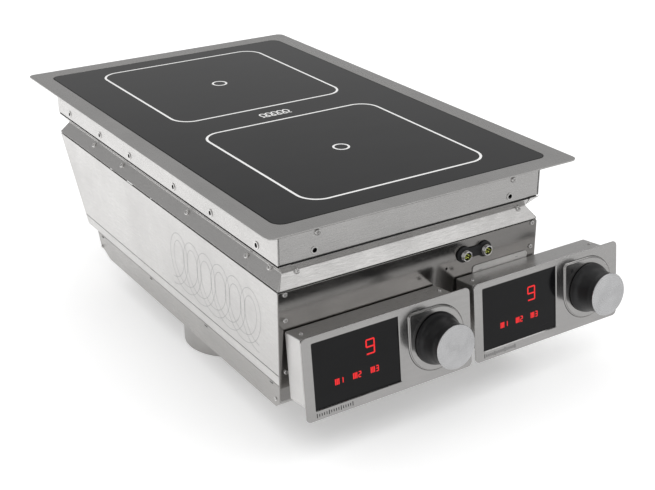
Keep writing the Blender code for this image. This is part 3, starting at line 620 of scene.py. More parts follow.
def coil_line(length: float, height: float, loops: int, points: int = 240) -> np.ndarray:
    """Looped line like a coil seen from the side: an even run plus a circle that turns once for each loop.

    Args:
        length: Length of the line.
        height: Height of the loops.
        loops: Number of loops.
        points: Points along the line.

    Returns:
        Points as (points, 2), about the line's middle.
    """
    share = np.linspace(0.0, 1.0, points)
    turn = 2 * math.pi * loops * share - math.pi / 2
    sway = height * 0.42
    x = (share - 0.5) * (length - 2 * sway) + sway * np.cos(turn)
    y = height / 2 * np.sin(turn)
    return np.stack([x, y], axis=1)


def beside(path: np.ndarray, distance: float) -> np.ndarray:
    """Open path moved to its left.

    Args:
        path: Points as (n, 2).
        distance: How far it moves.

    Returns:
        Points as (n, 2).
    """
    along = np.gradient(path, axis=0)
    along /= np.linalg.norm(along, axis=1)[:, None]
    return path + distance * np.stack([-along[:, 1], along[:, 0]], axis=1)


def extent(node: str) -> np.ndarray:
    """Lowest and highest corner of a CAD node.

    Args:
        node: Name of the node.

    Returns:
        Corners as (2, 3) in millimetres.
    """
    return np.array([tuple(corner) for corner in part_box(node)], dtype=float) / MM


# ====================================================================== finishes


class NodeGraph:
    """Short way of setting out one material's nodes round its principled shader."""

    def __init__(self, name: str) -> None:
        """Make the material.

        Args:
            name: Name of the material.
        """
        self.material = bpy.data.materials.new(name)
        self.material.use_nodes = True
        self.tree = self.material.node_tree
        self.shader = self.tree.nodes["Principled BSDF"]

    def feed(self, socket: bpy.types.NodeSocket, value: Any) -> None:
        """Link a socket to another node's output, or set its value.

        Args:
            socket: Input to feed.
            value: Output socket or plain value.
        """
        if isinstance(value, bpy.types.NodeSocket):
            self.tree.links.new(value, socket)
        else:
            socket.default_value = value

    def add(self, kind: str, inputs: dict[Any, Any], **settings: Any) -> bpy.types.Node:
        """Add a node.

        Args:
            kind: Type of the node.
            inputs: What feeds each of its inputs, by name or number.
            **settings: Its options.

        Returns:
            The node.
        """
        made = self.tree.nodes.new(kind)
        for key, value in settings.items():
            setattr(made, key, value)
        for key, value in inputs.items():
            self.feed(made.inputs[key], value)
        return made

    def shade(self, **sockets: Any) -> None:
        """Feed the principled shader; a name's underscores stand for spaces.

        Args:
            **sockets: Value or output for each of its inputs.
        """
        for key, value in sockets.items():
            self.feed(self.shader.inputs[key.replace("_", " ")], value)

    def place(
        self, scale: Sequence[float] = (1, 1, 1), centre: Sequence[float] = (0, 0, 0)
    ) -> bpy.types.NodeSocket:
        """Place on the object, in metres from a centre, stretched.

        Args:
            scale: Stretch along each axis.
            centre: Point in metres that becomes zero.

        Returns:
            Vector output.
        """
        shift = tuple(-part * size for part, size in zip(centre, scale))
        where = self.add("ShaderNodeTexCoord", {}).outputs["Object"]
        return self.add("ShaderNodeMapping", {"Vector": where, "Scale": scale, "Location": shift}).outputs[0]

    def noise(
        self, where: Any, scale: float, detail: float = 4.0, roughness: float = 0.6
    ) -> bpy.types.NodeSocket:
        """Fractal noise at a place, with this many patterns for each metre, from 0 to 1."""
        inputs = {"Vector": where, "Scale": scale, "Detail": detail, "Roughness": roughness}
        return self.add("ShaderNodeTexNoise", inputs).outputs[0]

    def spread(
        self, value: Any, low: float, high: float, start: float = 0.3, end: float = 0.7
    ) -> bpy.types.NodeSocket:
        """Carry a value from start..end to low..high, held at both ends."""
        inputs = {0: value, 1: start, 2: end, 3: low, 4: high}
        return self.add("ShaderNodeMapRange", inputs).outputs[0]

    def sum(self, first: Any, second: Any, operation: str = "ADD") -> bpy.types.NodeSocket:
        """Sum of two values, or what another Math operation makes of them."""
        return self.add("ShaderNodeMath", {0: first, 1: second}, operation=operation).outputs[0]

    def blend(self, share: Any, first: Any, second: Any) -> bpy.types.NodeSocket:
        """Colour between two.

        Args:
            share: 0 for the first, 1 for the second.
            first: Colour or output.
            second: Colour or output.

        Returns:
            Colour output.
        """
        colours = [(*value, 1.0) if isinstance(value, tuple) else value for value in (first, second)]
        return self.add(
            "ShaderNodeMix", {0: share, 6: colours[0], 7: colours[1]}, data_type="RGBA"
        ).outputs[2]

    def bump(self, height: Any, strength: float, depth: float, under: Any = None) -> bpy.types.NodeSocket:
        """Relief from a value.

        Args:
            height: Value output.
            strength: Share of the full effect.
            depth: Depth in millimetres.
            under: Relief below this one.

        Returns:
            Normal output.
        """
        inputs = {"Height": height, "Strength": strength, "Distance": depth * MM}
        if under is not None:
            inputs["Normal"] = under
        return self.add("ShaderNodeBump", inputs).outputs[0]


class Grain(Enum):
    """Direction a sheet was rolled or brushed in, as the stretch of its pattern along each axis."""

    ALONG_X = (0.03, 1.0, 1.0)
    ALONG_Y = (1.0, 0.03, 1.0)
    EVEN = (1.0, 1.0, 1.0)


class Finish(ABC):
    """Look of a surface."""

    @abstractmethod
    def make(self) -> bpy.types.Material:
        """Make the material.

        Returns:
            The material.
        """


@dataclass(frozen=True)
class SheetSteel(Finish):
    """Rolled or brushed sheet: long fine lines in gloss and relief, with faint clouding and small scuffs.

    Attributes:
        name: Name of the material.
        grain: Direction of its lines.
        tone: Brightness of the metal.
        warmth: Shift towards yellow.
        gloss: Roughness between its lines.
        brush: How far the lines change roughness.
        relief: Depth of the lines in millimetres.
    """

    name: str
    grain: Grain = Grain.ALONG_X
    tone: float = 0.66
    warmth: float = 0.01
    gloss: float = 0.26
    brush: float = 0.12
    relief: float = 0.02

    def make(self) -> bpy.types.Material:
        """Make the material.

        Returns:
            The material.
        """
        graph = NodeGraph(self.name)
        lines = graph.noise(graph.place(self.grain.value), 2600.0, 3.0, 0.7)
        streaks = graph.noise(graph.place(self.grain.value), 260.0, 4.0, 0.7)
        clouds = graph.noise(graph.place(), 14.0, 5.0, 0.6)
        scuffs = graph.spread(graph.noise(graph.place(), 95.0, 8.0, 0.75), 0.0, 1.0, 0.62, 0.72)
        bright = (self.tone + self.warmth, self.tone, self.tone - self.warmth)
        dull = tuple(part * 0.9 for part in bright)
        colour = graph.blend(graph.spread(clouds, 0.0, 1.0), bright, dull)
        darker = tuple(part * 0.86 for part in bright)
        colour = graph.blend(graph.spread(streaks, 0.0, 0.5, 0.35, 0.75), colour, darker)
        wear = graph.sum(graph.spread(lines, -self.brush, self.brush), graph.spread(clouds, -0.03, 0.04))
        rough = graph.sum(graph.sum(wear, self.gloss), graph.sum(scuffs, 0.08, "MULTIPLY"))
        relief = graph.bump(lines, 0.35, self.relief)
        relief = graph.bump(streaks, 0.25, self.relief * 1.5, relief)
        graph.shade(Base_Color=colour, Metallic=1.0, Roughness=rough, Normal=relief)
        return graph.material


@dataclass(frozen=True)
class TurnedMetal(Finish):
    """Lathe-cut metal: fine rings about an axis.

    Attributes:
        name: Name of the material.
        centre: Point on the axis, in millimetres.
        axis: Direction of the axis.
        tone: Colour of the metal.
        gloss: Roughness between the rings.
        ring_scale: Rings for each metre.
    """

    name: str
    centre: tuple[float, float, float]
    axis: tuple[float, float, float]
    tone: tuple[float, float, float] = (0.82, 0.82, 0.83)
    gloss: float = 0.24
    ring_scale: float = 2400.0

    def make(self) -> bpy.types.Material:
        """Make the material; a ring's value is noise of the distance from the axis.

        Returns:
            The material.
        """
        graph = NodeGraph(self.name)
        where = graph.place(centre=tuple(part * MM for part in self.centre))
        vector = "ShaderNodeVectorMath"
        cross = graph.add(vector, {0: where, 1: self.axis}, operation="CROSS_PRODUCT").outputs[0]
        reach = graph.add(vector, {0: cross}, operation="LENGTH").outputs[1]
        rings = graph.add(
            "ShaderNodeTexNoise", {"W": reach, "Scale": self.ring_scale, "Detail": 3.0}, noise_dimensions="1D"
        ).outputs[0]
        clouds = graph.noise(graph.place(), 60.0, 4.0)
        dull = tuple(part * 0.84 for part in self.tone)
        colour = graph.blend(graph.spread(clouds, 0.0, 1.0), self.tone, dull)
        turned = graph.spread(rings, self.gloss - 0.08, self.gloss + 0.12)
        rough = graph.sum(turned, graph.spread(clouds, -0.02, 0.03))
        graph.shade(Base_Color=colour, Metallic=1.0, Roughness=rough, Normal=graph.bump(rings, 0.4, 0.02))
        around = graph.add(vector, {0: cross}, operation="NORMALIZE").outputs[0]
        graph.shade(Anisotropic=0.75, Tangent=around)
        return graph.material


@dataclass(frozen=True)
class CeramicGlass(Finish):
    """Black glass-ceramic: almost even gloss with faint wiping marks and a breath of dust.

    Attributes:
        name: Name of the material.
        tint: Colour of the body.
        gloss: Roughness.
    """

    name: str
    tint: tuple[float, float, float] = (0.004, 0.004, 0.0045)
    gloss: float = 0.07

    def make(self) -> bpy.types.Material:
        """Make the material.

        Returns:
            The material.
        """
        graph = NodeGraph(self.name)
        wipes = graph.noise(graph.place((0.4, 1.0, 1.0)), 26.0, 6.0, 0.65)
        dust = graph.spread(graph.noise(graph.place(), 1500.0, 2.0, 0.5), 0.0, 1.0, 0.68, 0.78)
        wiped = graph.spread(wipes, self.gloss - 0.015, self.gloss + 0.035)
        rough = graph.sum(wiped, graph.sum(dust, 0.05, "MULTIPLY"))
        lighter = tuple(part * 1.5 + 0.001 for part in self.tint)
        colour = graph.blend(graph.spread(wipes, 0.0, 1.0), self.tint, lighter)
        ripple = graph.noise(graph.place(), 9.0, 1.0)
        graph.shade(Base_Color=colour, Roughness=rough, IOR=1.38, Normal=graph.bump(ripple, 0.02, 0.4))
        return graph.material


@dataclass(frozen=True)
class Moulded(Finish):
    """Moulded, fired or printed material: two close colours in clouds, with a fine skin texture.

    Attributes:
        name: Name of the material.
        colour: Main colour.
        other: Colour of the clouds.
        gloss: Roughness.
        texture: Bumps for each metre.
        relief: Depth of the bumps in millimetres.
        metallic: 1 for a metal.
    """

    name: str
    colour: tuple[float, float, float]
    other: tuple[float, float, float]
    gloss: float = 0.4
    texture: float = 1800.0
    relief: float = 0.03
    metallic: float = 0.0

    def make(self) -> bpy.types.Material:
        """Make the material.

        Returns:
            The material.
        """
        graph = NodeGraph(self.name)
        skin = graph.noise(graph.place(), self.texture, 3.0)
        clouds = graph.noise(graph.place(), 45.0, 5.0)
        colour = graph.blend(graph.spread(clouds, 0.0, 1.0), self.colour, self.other)
        grained = graph.spread(skin, self.gloss - 0.05, self.gloss + 0.07)
        rough = graph.sum(grained, graph.spread(clouds, -0.03, 0.03))
        relief = graph.bump(skin, 0.5, self.relief)
        graph.shade(Base_Color=colour, Roughness=rough, Metallic=self.metallic, Normal=relief)
        return graph.material


@dataclass(frozen=True)
class Glow(Finish):
    """Lit display segment, its light a little uneven in soft patches.

    Attributes:
        name: Name of the material.
        colour: Colour of the light.
        power: Its strength.
    """

    name: str
    colour: tuple[float, float, float] = (1.0, 0.006, 0.01)
    power: float = 0.9

    def make(self) -> bpy.types.Material:
        """Make the material.

        Returns:
            The material.
        """
        graph = NodeGraph(self.name)
        patches = graph.noise(graph.place(), 240.0, 2.0)
        dimmer = tuple(part * 0.82 for part in self.colour)
        glow = graph.blend(graph.spread(patches, 0.0, 1.0), self.colour, dimmer)
        graph.shade(Base_Color=(0.2, 0.01, 0.01, 1.0), Roughness=0.3)
        graph.shade(Emission_Color=glow, Emission_Strength=self.power)
        return graph.material


@dataclass(frozen=True)
class Winding(Finish):
    """Flat spiral of stranded copper: rounded turns about a centre, with the strands' twist across them, and
    painted shade, near-black copper, in the grooves between turns.

    Attributes:
        name: Name of the material.
        centre: Middle of the spiral in millimetres.
        pitch: Distance between turns in millimetres.
    """

    name: str
    centre: tuple[float, float, float]
    pitch: float = 3.4

    def make(self) -> bpy.types.Material:
        """Make the material.

        Returns:
            The material.
        """
        graph = NodeGraph(self.name)
        where = graph.place(centre=tuple(part * MM for part in self.centre))
        turns = graph.add(
            "ShaderNodeTexWave",
            {"Vector": where, "Scale": math.pi / 10 / (self.pitch * MM)},
            wave_type="RINGS",
            rings_direction="Z",
        ).outputs[1]
        strands = graph.noise(where, 1400.0, 2.0)
        colour = graph.blend(graph.spread(strands, 0.0, 1.0), (0.78, 0.34, 0.16), (0.42, 0.15, 0.06))
        # painted shade: the copper darkens almost to black in the grooves between turns
        colour = graph.blend(graph.spread(turns, 0.0, 1.0, 0.0, 0.35), (0.08, 0.03, 0.015), colour)
        relief = graph.bump(strands, 0.4, 0.1, graph.bump(turns, 0.8, 0.8))
        rough = graph.spread(strands, 0.28, 0.5)
        graph.shade(Base_Color=colour, Metallic=1.0, Roughness=rough, Normal=relief)
        return graph.material


@dataclass(frozen=True)
class BoardLacquer(Finish):
    """Circuit board: lacquer over raised tracks, with pads.

    Attributes:
        name: Name of the material.
    """

    name: str

    def make(self) -> bpy.types.Material:
        """Make the material; tracks are the edges of square cells, pads are small cell middles.

        Returns:
            The material.
        """
        graph = NodeGraph(self.name)
        where = graph.place()
        cells = graph.add(
            "ShaderNodeTexVoronoi", {"Vector": where, "Scale": 170.0, "Randomness": 0.8}, distance="CHEBYCHEV"
        ).outputs[0]
        tracks = graph.spread(cells, 0.0, 1.0, 0.3, 0.36)
        pads = graph.spread(cells, 1.0, 0.0, 0.06, 0.09)
        colour = graph.blend(tracks, (0.02, 0.13, 0.05), (0.035, 0.2, 0.08))
        colour = graph.blend(pads, colour, (0.6, 0.58, 0.52))
        relief = graph.bump(graph.sum(tracks, pads), 0.4, 0.08)
        rough = graph.spread(graph.noise(where, 300.0), 0.25, 0.4)
        graph.shade(Base_Color=colour, Roughness=rough, Normal=relief)
        return graph.material


class Finishes:
    """All the finishes that the cooktop's pieces share, each made when first asked for."""

    def __init__(self) -> None:
        """Set out the finishes; nothing is made yet."""
        black = ((0.014, 0.014, 0.015), (0.022, 0.022, 0.023))
        satin = ((0.011, 0.011, 0.012), (0.016, 0.016, 0.017))
        white = ((0.94, 0.94, 0.93), (0.88, 0.88, 0.87))
        listed = (
            SheetSteel("flange_steel", Grain.ALONG_Y, tone=0.62, gloss=0.3, brush=0.1),
            SheetSteel("side_steel", Grain.ALONG_Y, tone=0.65, gloss=0.32),
            SheetSteel("front_steel", Grain.ALONG_X, tone=0.66, gloss=0.26),
            # painted shade: the front panel's steel is at half the tone of the other sheets, for the shadow and
            # dark reflections that fall on it
            SheetSteel("panel_steel", Grain.ALONG_X, tone=0.33, gloss=0.18, brush=0.07),
            SheetSteel("waist_steel", Grain.ALONG_X, tone=0.62, gloss=0.3),
            SheetSteel("pan_steel", Grain.ALONG_Y, tone=0.42, gloss=0.3),
            SheetSteel("module_steel", Grain.ALONG_X, tone=0.62, gloss=0.17, brush=0.07),
            SheetSteel("box_steel", Grain.ALONG_X, tone=0.7, gloss=0.36),
            SheetSteel("spigot_steel", Grain.EVEN, tone=0.42, gloss=0.32, brush=0.08),
            SheetSteel("label_steel", Grain.ALONG_X, tone=0.78, gloss=0.42, brush=0.05),
            SheetSteel("inner_steel", Grain.ALONG_X, tone=0.6, gloss=0.36),
            SheetSteel("aluminium", Grain.ALONG_Y, tone=0.72, gloss=0.34),
            SheetSteel("screw_steel", Grain.EVEN, tone=0.72, gloss=0.2, brush=0.06),
            SheetSteel("chromed", Grain.EVEN, tone=0.82, gloss=0.14, brush=0.04),
            CeramicGlass("ceramic_glass"),
            CeramicGlass("display_glass", tint=(0.003, 0.003, 0.0035), gloss=0.09),
            Moulded("white_enamel", *white, gloss=0.36, texture=2600.0, relief=0.01),
            Moulded("etched_line", (0.4, 0.4, 0.4), (0.5, 0.5, 0.5), gloss=0.55, metallic=1.0),
            Moulded("black_print", *black, gloss=0.5),
            Moulded("black_sealant", *black, gloss=0.62, texture=900.0),
            Moulded("satin_black", *satin, gloss=0.34, texture=2600.0, relief=0.02),
            Moulded("inner_plastic", *black, gloss=0.48),
            # painted shade: near-black sheet that stands for the shade in slots and joints
            Moulded("dark_gap", (0.003, 0.003, 0.003), (0.006, 0.006, 0.006), gloss=0.8),
            Moulded("contact_gold", (0.72, 0.78, 0.16), (0.6, 0.64, 0.1), gloss=0.3),
            Moulded("ferrite", (0.05, 0.05, 0.055), (0.09, 0.09, 0.095), gloss=0.6, texture=700.0),
            Moulded("sensor_ceramic", (0.82, 0.8, 0.75), (0.72, 0.7, 0.66), gloss=0.55),
            Moulded("mica_sheet", (0.62, 0.56, 0.44), (0.48, 0.42, 0.32), gloss=0.5, texture=400.0),
            Moulded("shaft_metal", (0.6, 0.48, 0.24), (0.5, 0.39, 0.19), gloss=0.3, metallic=1.0),
            BoardLacquer("board_lacquer"),
            Glow("red_light"),
        )
        self._listed = {finish.name: finish for finish in listed}
        self._made: dict[str, bpy.types.Material] = {}

    def __getitem__(self, name: str) -> bpy.types.Material:
        """Material of that name, made on first use."""
        if name not in self._made:
            self._made[name] = self._listed[name].make()
        return self._made[name]

    def also(self, finish: Finish) -> str:
        """Add a finish that depends on a piece's place, and give back its name."""
        self._listed[finish.name] = finish
        return finish.name


# ====================================================================== sub-assemblies


@dataclass
class SubAssembly(ABC):
    """Pieces that are built and dressed together.

    Attributes:
        pieces: Every piece's object and the finishes of its slots.
    """

    pieces: dict[str, tuple[bpy.types.Object, tuple[str, ...]]] = field(default_factory=dict, init=False)

    def add(
        self,
        name: str,
        skin: Skin,
        finishes: str | tuple[str, ...],
        slot: str,
        body: str = ROOT_BODY,
        replaces: Iterable[str] = (),
    ) -> bpy.types.Object:
        """Make a piece and say what it rides on and stands for.

        Args:
            name: Name of the piece.
            skin: Its surface.
            finishes: Name of the finish of each material slot.
            slot: Not used.
            body: CAD body that it moves with.
            replaces: CAD nodes that it stands for.

        Returns:
            The object.
        """
        return self.adopt(name, skin.build(name), finishes, slot, body, replaces)

    def adopt(
        self,
        name: str,
        made: bpy.types.Object,
        finishes: str | tuple[str, ...],
        slot: str,
        body: str = ROOT_BODY,
        replaces: Iterable[str] = (),
    ) -> bpy.types.Object:
        """Take a finished object as a piece; the arguments are those of add, with the object for the skin."""
        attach(made, body)
        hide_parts(*replaces)
        self.pieces[name] = (made, (finishes,) if isinstance(finishes, str) else finishes)
        return made

    @abstractmethod
    def build(self) -> None:
        """Make the pieces."""

    def dress(self, finishes: Finishes) -> None:
        """Give every piece its materials.

        Args:
            finishes: The shared finishes.
        """
        for made, names in self.pieces.values():
            made.data.materials.clear()
            for name in names:
                made.data.materials.append(finishes[name])

    def make(self, finishes: Finishes) -> None:
        """Build, dress and report.

        Args:
            finishes: The shared finishes.
        """
        self.build()
        self.dress(finishes)
        for name, (made, _) in self.pieces.items():
            log.info("%s: %s, %d faces", type(self).__name__, name, len(made.data.polygons))


class Drive(Enum):
    """Recess of a screw's head, as the number of its lobes and their depth as a share of the radius."""

    CROSS = (4, 0.42)
    STAR = (6, 0.2)


@dataclass(frozen=True)
class Screw:
    """Domed screw head with a lobed recess.

    Attributes:
        radius: Radius of the head.
        height: Height of its dome.
        drive: Shape of its recess.
        sides: Points round the head.
    """

    radius: float = 3.0
    height: float = 1.7
    drive: Drive = Drive.STAR
    sides: int = 36

    def draw(self, skin: Skin, place: Placement, turn: float = 0.0) -> None:
        """Draw the head: a dome whose radius falls by the cosine of its height, then the lobed wall and floor.

        Args:
            skin: Where the faces go.
            place: Placement whose origin is under the head's middle.
            turn: Turn of the recess in degrees.
        """
        angle = np.arange(self.sides) * (2 * math.pi / self.sides)
        lobes, depth = self.drive.value
        wave = np.cos(lobes * (angle - math.radians(turn)))
        recess = 0.42 * self.radius * (1 + depth * wave)
        climb = np.linspace(0.0, 1.0, 6)
        dome = np.sqrt(1 - 0.62 * climb**2)
        round_rows = self.radius * dome[:, None] * np.ones(self.sides)
        rows = np.concatenate([round_rows, [recess * 1.08], [recess], [recess * 0.8]])[::-1]
        lift = np.concatenate([0.15 + (self.height - 0.15) * np.sin(climb * math.pi / 2), [self.height]])
        heights = np.concatenate([[-0.5], lift[1:], [self.height - 0.12], [self.height * 0.25]])[::-1]
        flat = rows[..., None] * np.stack([np.cos(angle), np.sin(angle)], axis=-1)
        begin = skin.grid(place.at(flat, np.repeat(heights[:, None], self.sides, axis=1)))
        skin.lid(begin, self.sides, True)
        skin.lid(begin + (len(rows) - 1) * self.sides, self.sides, False)


def collar(
    skin: Skin, place: Placement, bore: float, radius: float, height: float, depth: float = 6.0
) -> None:
    """Flanged threaded insert: a rounded flange on the sheet and a sleeve behind it.

    Args:
        skin: Where the faces go.
        place: Placement on the sheet's face.
        bore: Radius of its bore.
        radius: Radius of its flange.
        height: How far the flange stands out.
        depth: How far the sleeve reaches behind the face.
    """
    sleeve = bore + 0.9
    flange = [(bore, height), (radius, height), (radius, -0.3)]
    behind = [(sleeve, -0.3), (sleeve, -depth), (bore, -depth)]
    profile = softened([*flange, *behind], 0.35, 3, closed=True)
    add_turned(skin, place, profile, 32, closed=True, flat_over=1.2)


@dataclass
class TopFrame(SubAssembly):
    """Steel frame that rests on the worktop and carries the glass on its ledge.

    Attributes:
        size: Half width and half length of the flange.
        corner: Its corner radius.
        glass: Half width and half length of the glass.
        glass_corner: The glass's corner radius.
        joint: Width of the sealed joint round the glass.
        ledge: Width of the ledge under the glass.
        wall: Thickness of the sheet.
        top: Height of the flange's upper face.
        ledge_top: Height of the ledge.
    """

    size: tuple[float, float] = (200.0, 322.3)
    corner: float = 9.0
    glass: tuple[float, float] = (175.95, 297.5)
    glass_corner: float = 12.0
    joint: float = 1.0
    ledge: float = 16.0
    wall: float = 1.5
    top: float = 1.5
    ledge_top: float = -2.8

    def build(self) -> None:
        """Make the frame: one stepped section carried round the opening."""
        outer = rounded(*self.size, self.corner, steps=10)
        opening = rounded(
            self.glass[0] + self.joint, self.glass[1] + self.joint, self.glass_corner + self.joint, steps=10
        )
        reach = self.joint - self.ledge
        inner = rounded(self.glass[0] + reach, self.glass[1] + reach, self.wall, steps=10)
        low = self.ledge_top - self.wall
        section = [(outer, inset, self.top - drop) for inset, drop in rounding(0.3, 4)]
        section += [(outer, 0.0, 0.12), (outer, 0.12, 0.0)]
        section += [(opening, -self.wall - 0.5, 0.0), (opening, -self.wall, -0.5)]
        section += [(opening, -self.wall, low + 0.8), (opening, -self.wall + 0.8, low)]
        section += [(inner, 0.2, low), (inner, 0.0, low + 0.2), (inner, 0.0, self.ledge_top - 0.2)]
        section += [(inner, 0.2, self.ledge_top), (opening, 0.0, self.ledge_top), (opening, 0.0, self.top - 0.25)]
        section += [(opening, -0.07, self.top - 0.07), (opening, -0.25, self.top)]
        skin = Skin()
        add_hoop(skin, section, flat_over=1.2)
        self.add("top_frame", skin, "flange_steel", "steel", replaces=["flange_frame"])


@dataclass
class GlassTop(SubAssembly):
    """Glass-ceramic plate with its printed cooking zones.

    Attributes:
        size: Half width and half length.
        corner: Corner radius.
        top: Height of its upper face.
        under: Height of its lower face.
        zone: Half width and half length of a zone.
        zone_corner: A zone's corner radius.
        zones: Middles of the zones.
        line: Width of a zone's line.
        ring: Radius of the ring that marks a zone's middle.
        mark: Middle of the small printed mark.
    """

    size: tuple[float, float] = (175.95, 297.5)
    corner: float = 12.0
    top: float = 1.5
    under: float = -2.5
    zone: tuple[float, float] = (118.8, 120.4)
    zone_corner: float = 24.0
    zones: tuple[tuple[float, float], ...] = ((0.7, 147.3), (0.7, -145.1))
    line: float = 2.9
    ring: float = 9.0
    mark: tuple[float, float] = (-1.5, -0.6)

    def build(self) -> None:
        """Make the plate and its print."""
        plate = Skin()
        rim = soft_rim(self.top, self.under, 0.5)
        add_plate(plate, Side.TOP.through(), rounded(*self.size, self.corner, steps=10), rim=rim)
        self.add("glass_top", plate, "ceramic_glass", "black_glass", replaces=["glass_plate"])
        face = Side.TOP.through(z=self.top)
        print_skin = Skin()
        for middle in self.zones:
            border = rounded(*self.zone, self.zone_corner, middle, steps=16)
            add_ribbon(print_skin, face, border.ring(), self.line, closed=True)
            add_ribbon(print_skin, face, Round(self.ring, middle, 48).ring(), self.line * 0.85, closed=True)
        path = coil_line(52.0, 13.0, 5) + np.array(self.mark)
        add_ribbon(print_skin, face, path, 1.9)
        self.add("zone_print", print_skin, "white_enamel", "black_glass")


@dataclass
class Skirt(SubAssembly):
    """Folded sides that stand in the worktop's cut-out, with threaded inserts for the clamps.

    Attributes:
        half: Half width and half length.
        top: Height of its upper edge.
        edge: Height of its lower edge.
        wall: Thickness of the sheet.
        lip: Width of its turned-in edges.
        side_holes: Places of the inserts along each long side, from the middle.
        end_hole: Place of the inserts along each short side, from the middle.
        hole_rise: Height of the inserts above the lower edge.
        bore: Radius of an insert's bore.
        collar: Radius of an insert's flange.
        proud: How far the flange stands out.
        screws: Places of the end screws.
        screw_height: Height of the end screws.
        tab: Reach of the corner tabs along an end.
    """

    half: tuple[float, float] = (172.3, 292.1)
    top: float = -4.6
    edge: float = -45.8
    wall: float = 1.5
    lip: float = 6.0
    side_holes: tuple[float, ...] = (60.0, 150.0, 250.0)
    end_hole: float = 129.0
    hole_rise: float = 7.5
    bore: float = 2.6
    collar: float = 4.5
    proud: float = 0.9
    screws: tuple[float, float] = (-125.5, 132.7)
    screw_height: float = -19.2
    tab: float = 14.5

    def build(self) -> None:
        """Make the sheets, the turned-in lips, the inserts and the corner tabs."""
        half_x, half_y = self.half
        rise = (self.top - self.edge) / 2
        middle = (self.top + self.edge) / 2
        hole = self.edge + self.hole_rise - middle
        holes = [place for reach in self.side_holes for place in (-reach, reach)]
        rim = soft_rim(0.0, -self.wall, 0.35)
        long_outline = rounded(half_y, rise, 0.8)
        long_holes = [Round(self.bore + 0.9, (place, hole), 24) for place in holes]
        sides, ends, inserts = Skin(), Skin(), Skin()
        for side, x in ((Side.LEFT, -half_x), (Side.RIGHT, half_x)):
            face = side.through(x=x, z=middle)
            add_plate(sides, face, long_outline, long_holes, rim)
            for place in holes:
                collar(inserts, face.moved(place, hole), self.bore, self.collar, self.proud)
        end_rim = soft_rim(0.0, -self.wall, 0.9)
        end_outline = rounded(half_x - self.wall - 0.5, rise, 0.8)
        end_holes = [Round(self.bore + 0.9, (place, hole), 24) for place in (-self.end_hole, self.end_hole)]
        for side, y in ((Side.FRONT, -half_y), (Side.REAR, half_y)):
            face = side.through(y=y, z=middle)
            add_plate(ends, face, end_outline, end_holes, end_rim, soft_rim(0.0, -self.wall, 0.35))
            for place in (-self.end_hole, self.end_hole):
                collar(inserts, face.moved(place, hole), self.bore, self.collar, self.proud)
            for index, place in enumerate(self.screws):
                spot = side.through(y=y).moved(place, self.screw_height)
                Screw(3.5, 1.9, Drive.CROSS).draw(inserts, spot, 40.0 * index)
        inner = rounded(half_x, half_y, 2.0)
        for low, high in ((self.top - self.wall, self.top), (self.edge, self.edge + self.wall)):
            lips = [(inner, self.wall - 0.2, high), (inner, self.wall - 0.2, low), (inner, self.lip, low)]
            add_hoop(ends, [*lips, (inner, self.lip, high)])
        self.add("skirt_sides", sides, "side_steel", "steel", replaces=["skirt"])
        self.add("skirt_ends", ends, "front_steel", "steel")
        self.add("skirt_inserts", inserts, "screw_steel", "chrome")
        self.add_tabs()

    def add_tabs(self) -> None:
        """Corner tabs: three-cornered sheets that carry each end down along the waist's upper flank."""
        skin = Skin()
        fall, run = 12.1, 10.8
        length = math.hypot(fall, run)
        slope, lean = fall / length, run / length
        for sign_y, side in ((-1, -1), (-1, 1), (1, -1), (1, 1)):
            right = (-sign_y, 0.0, 0.0)
            up = (0.0, sign_y * lean, slope)
            out = (0.0, sign_y * slope, -lean)
            start = (0.0, sign_y * self.half[1], self.edge - 2.0)
            face = Placement(start, right, up, out)
            far = -side * sign_y
            outer, inner, toe = self.half[0] - 0.6, self.half[0] - self.tab, self.half[0] - run + 1.0
            points = [(far * outer, 2.4), (far * inner, 2.4), (far * toe, -length + 1.2)]
            points = points if far < 0 else points[::-1]
            add_plate(skin, face, Polygon(tuple(points)[::-1], 0.3, 3), rim=soft_rim(0.7, 0.05, 0.3))
        self.add("corner_tabs", skin, "waist_steel", "steel")


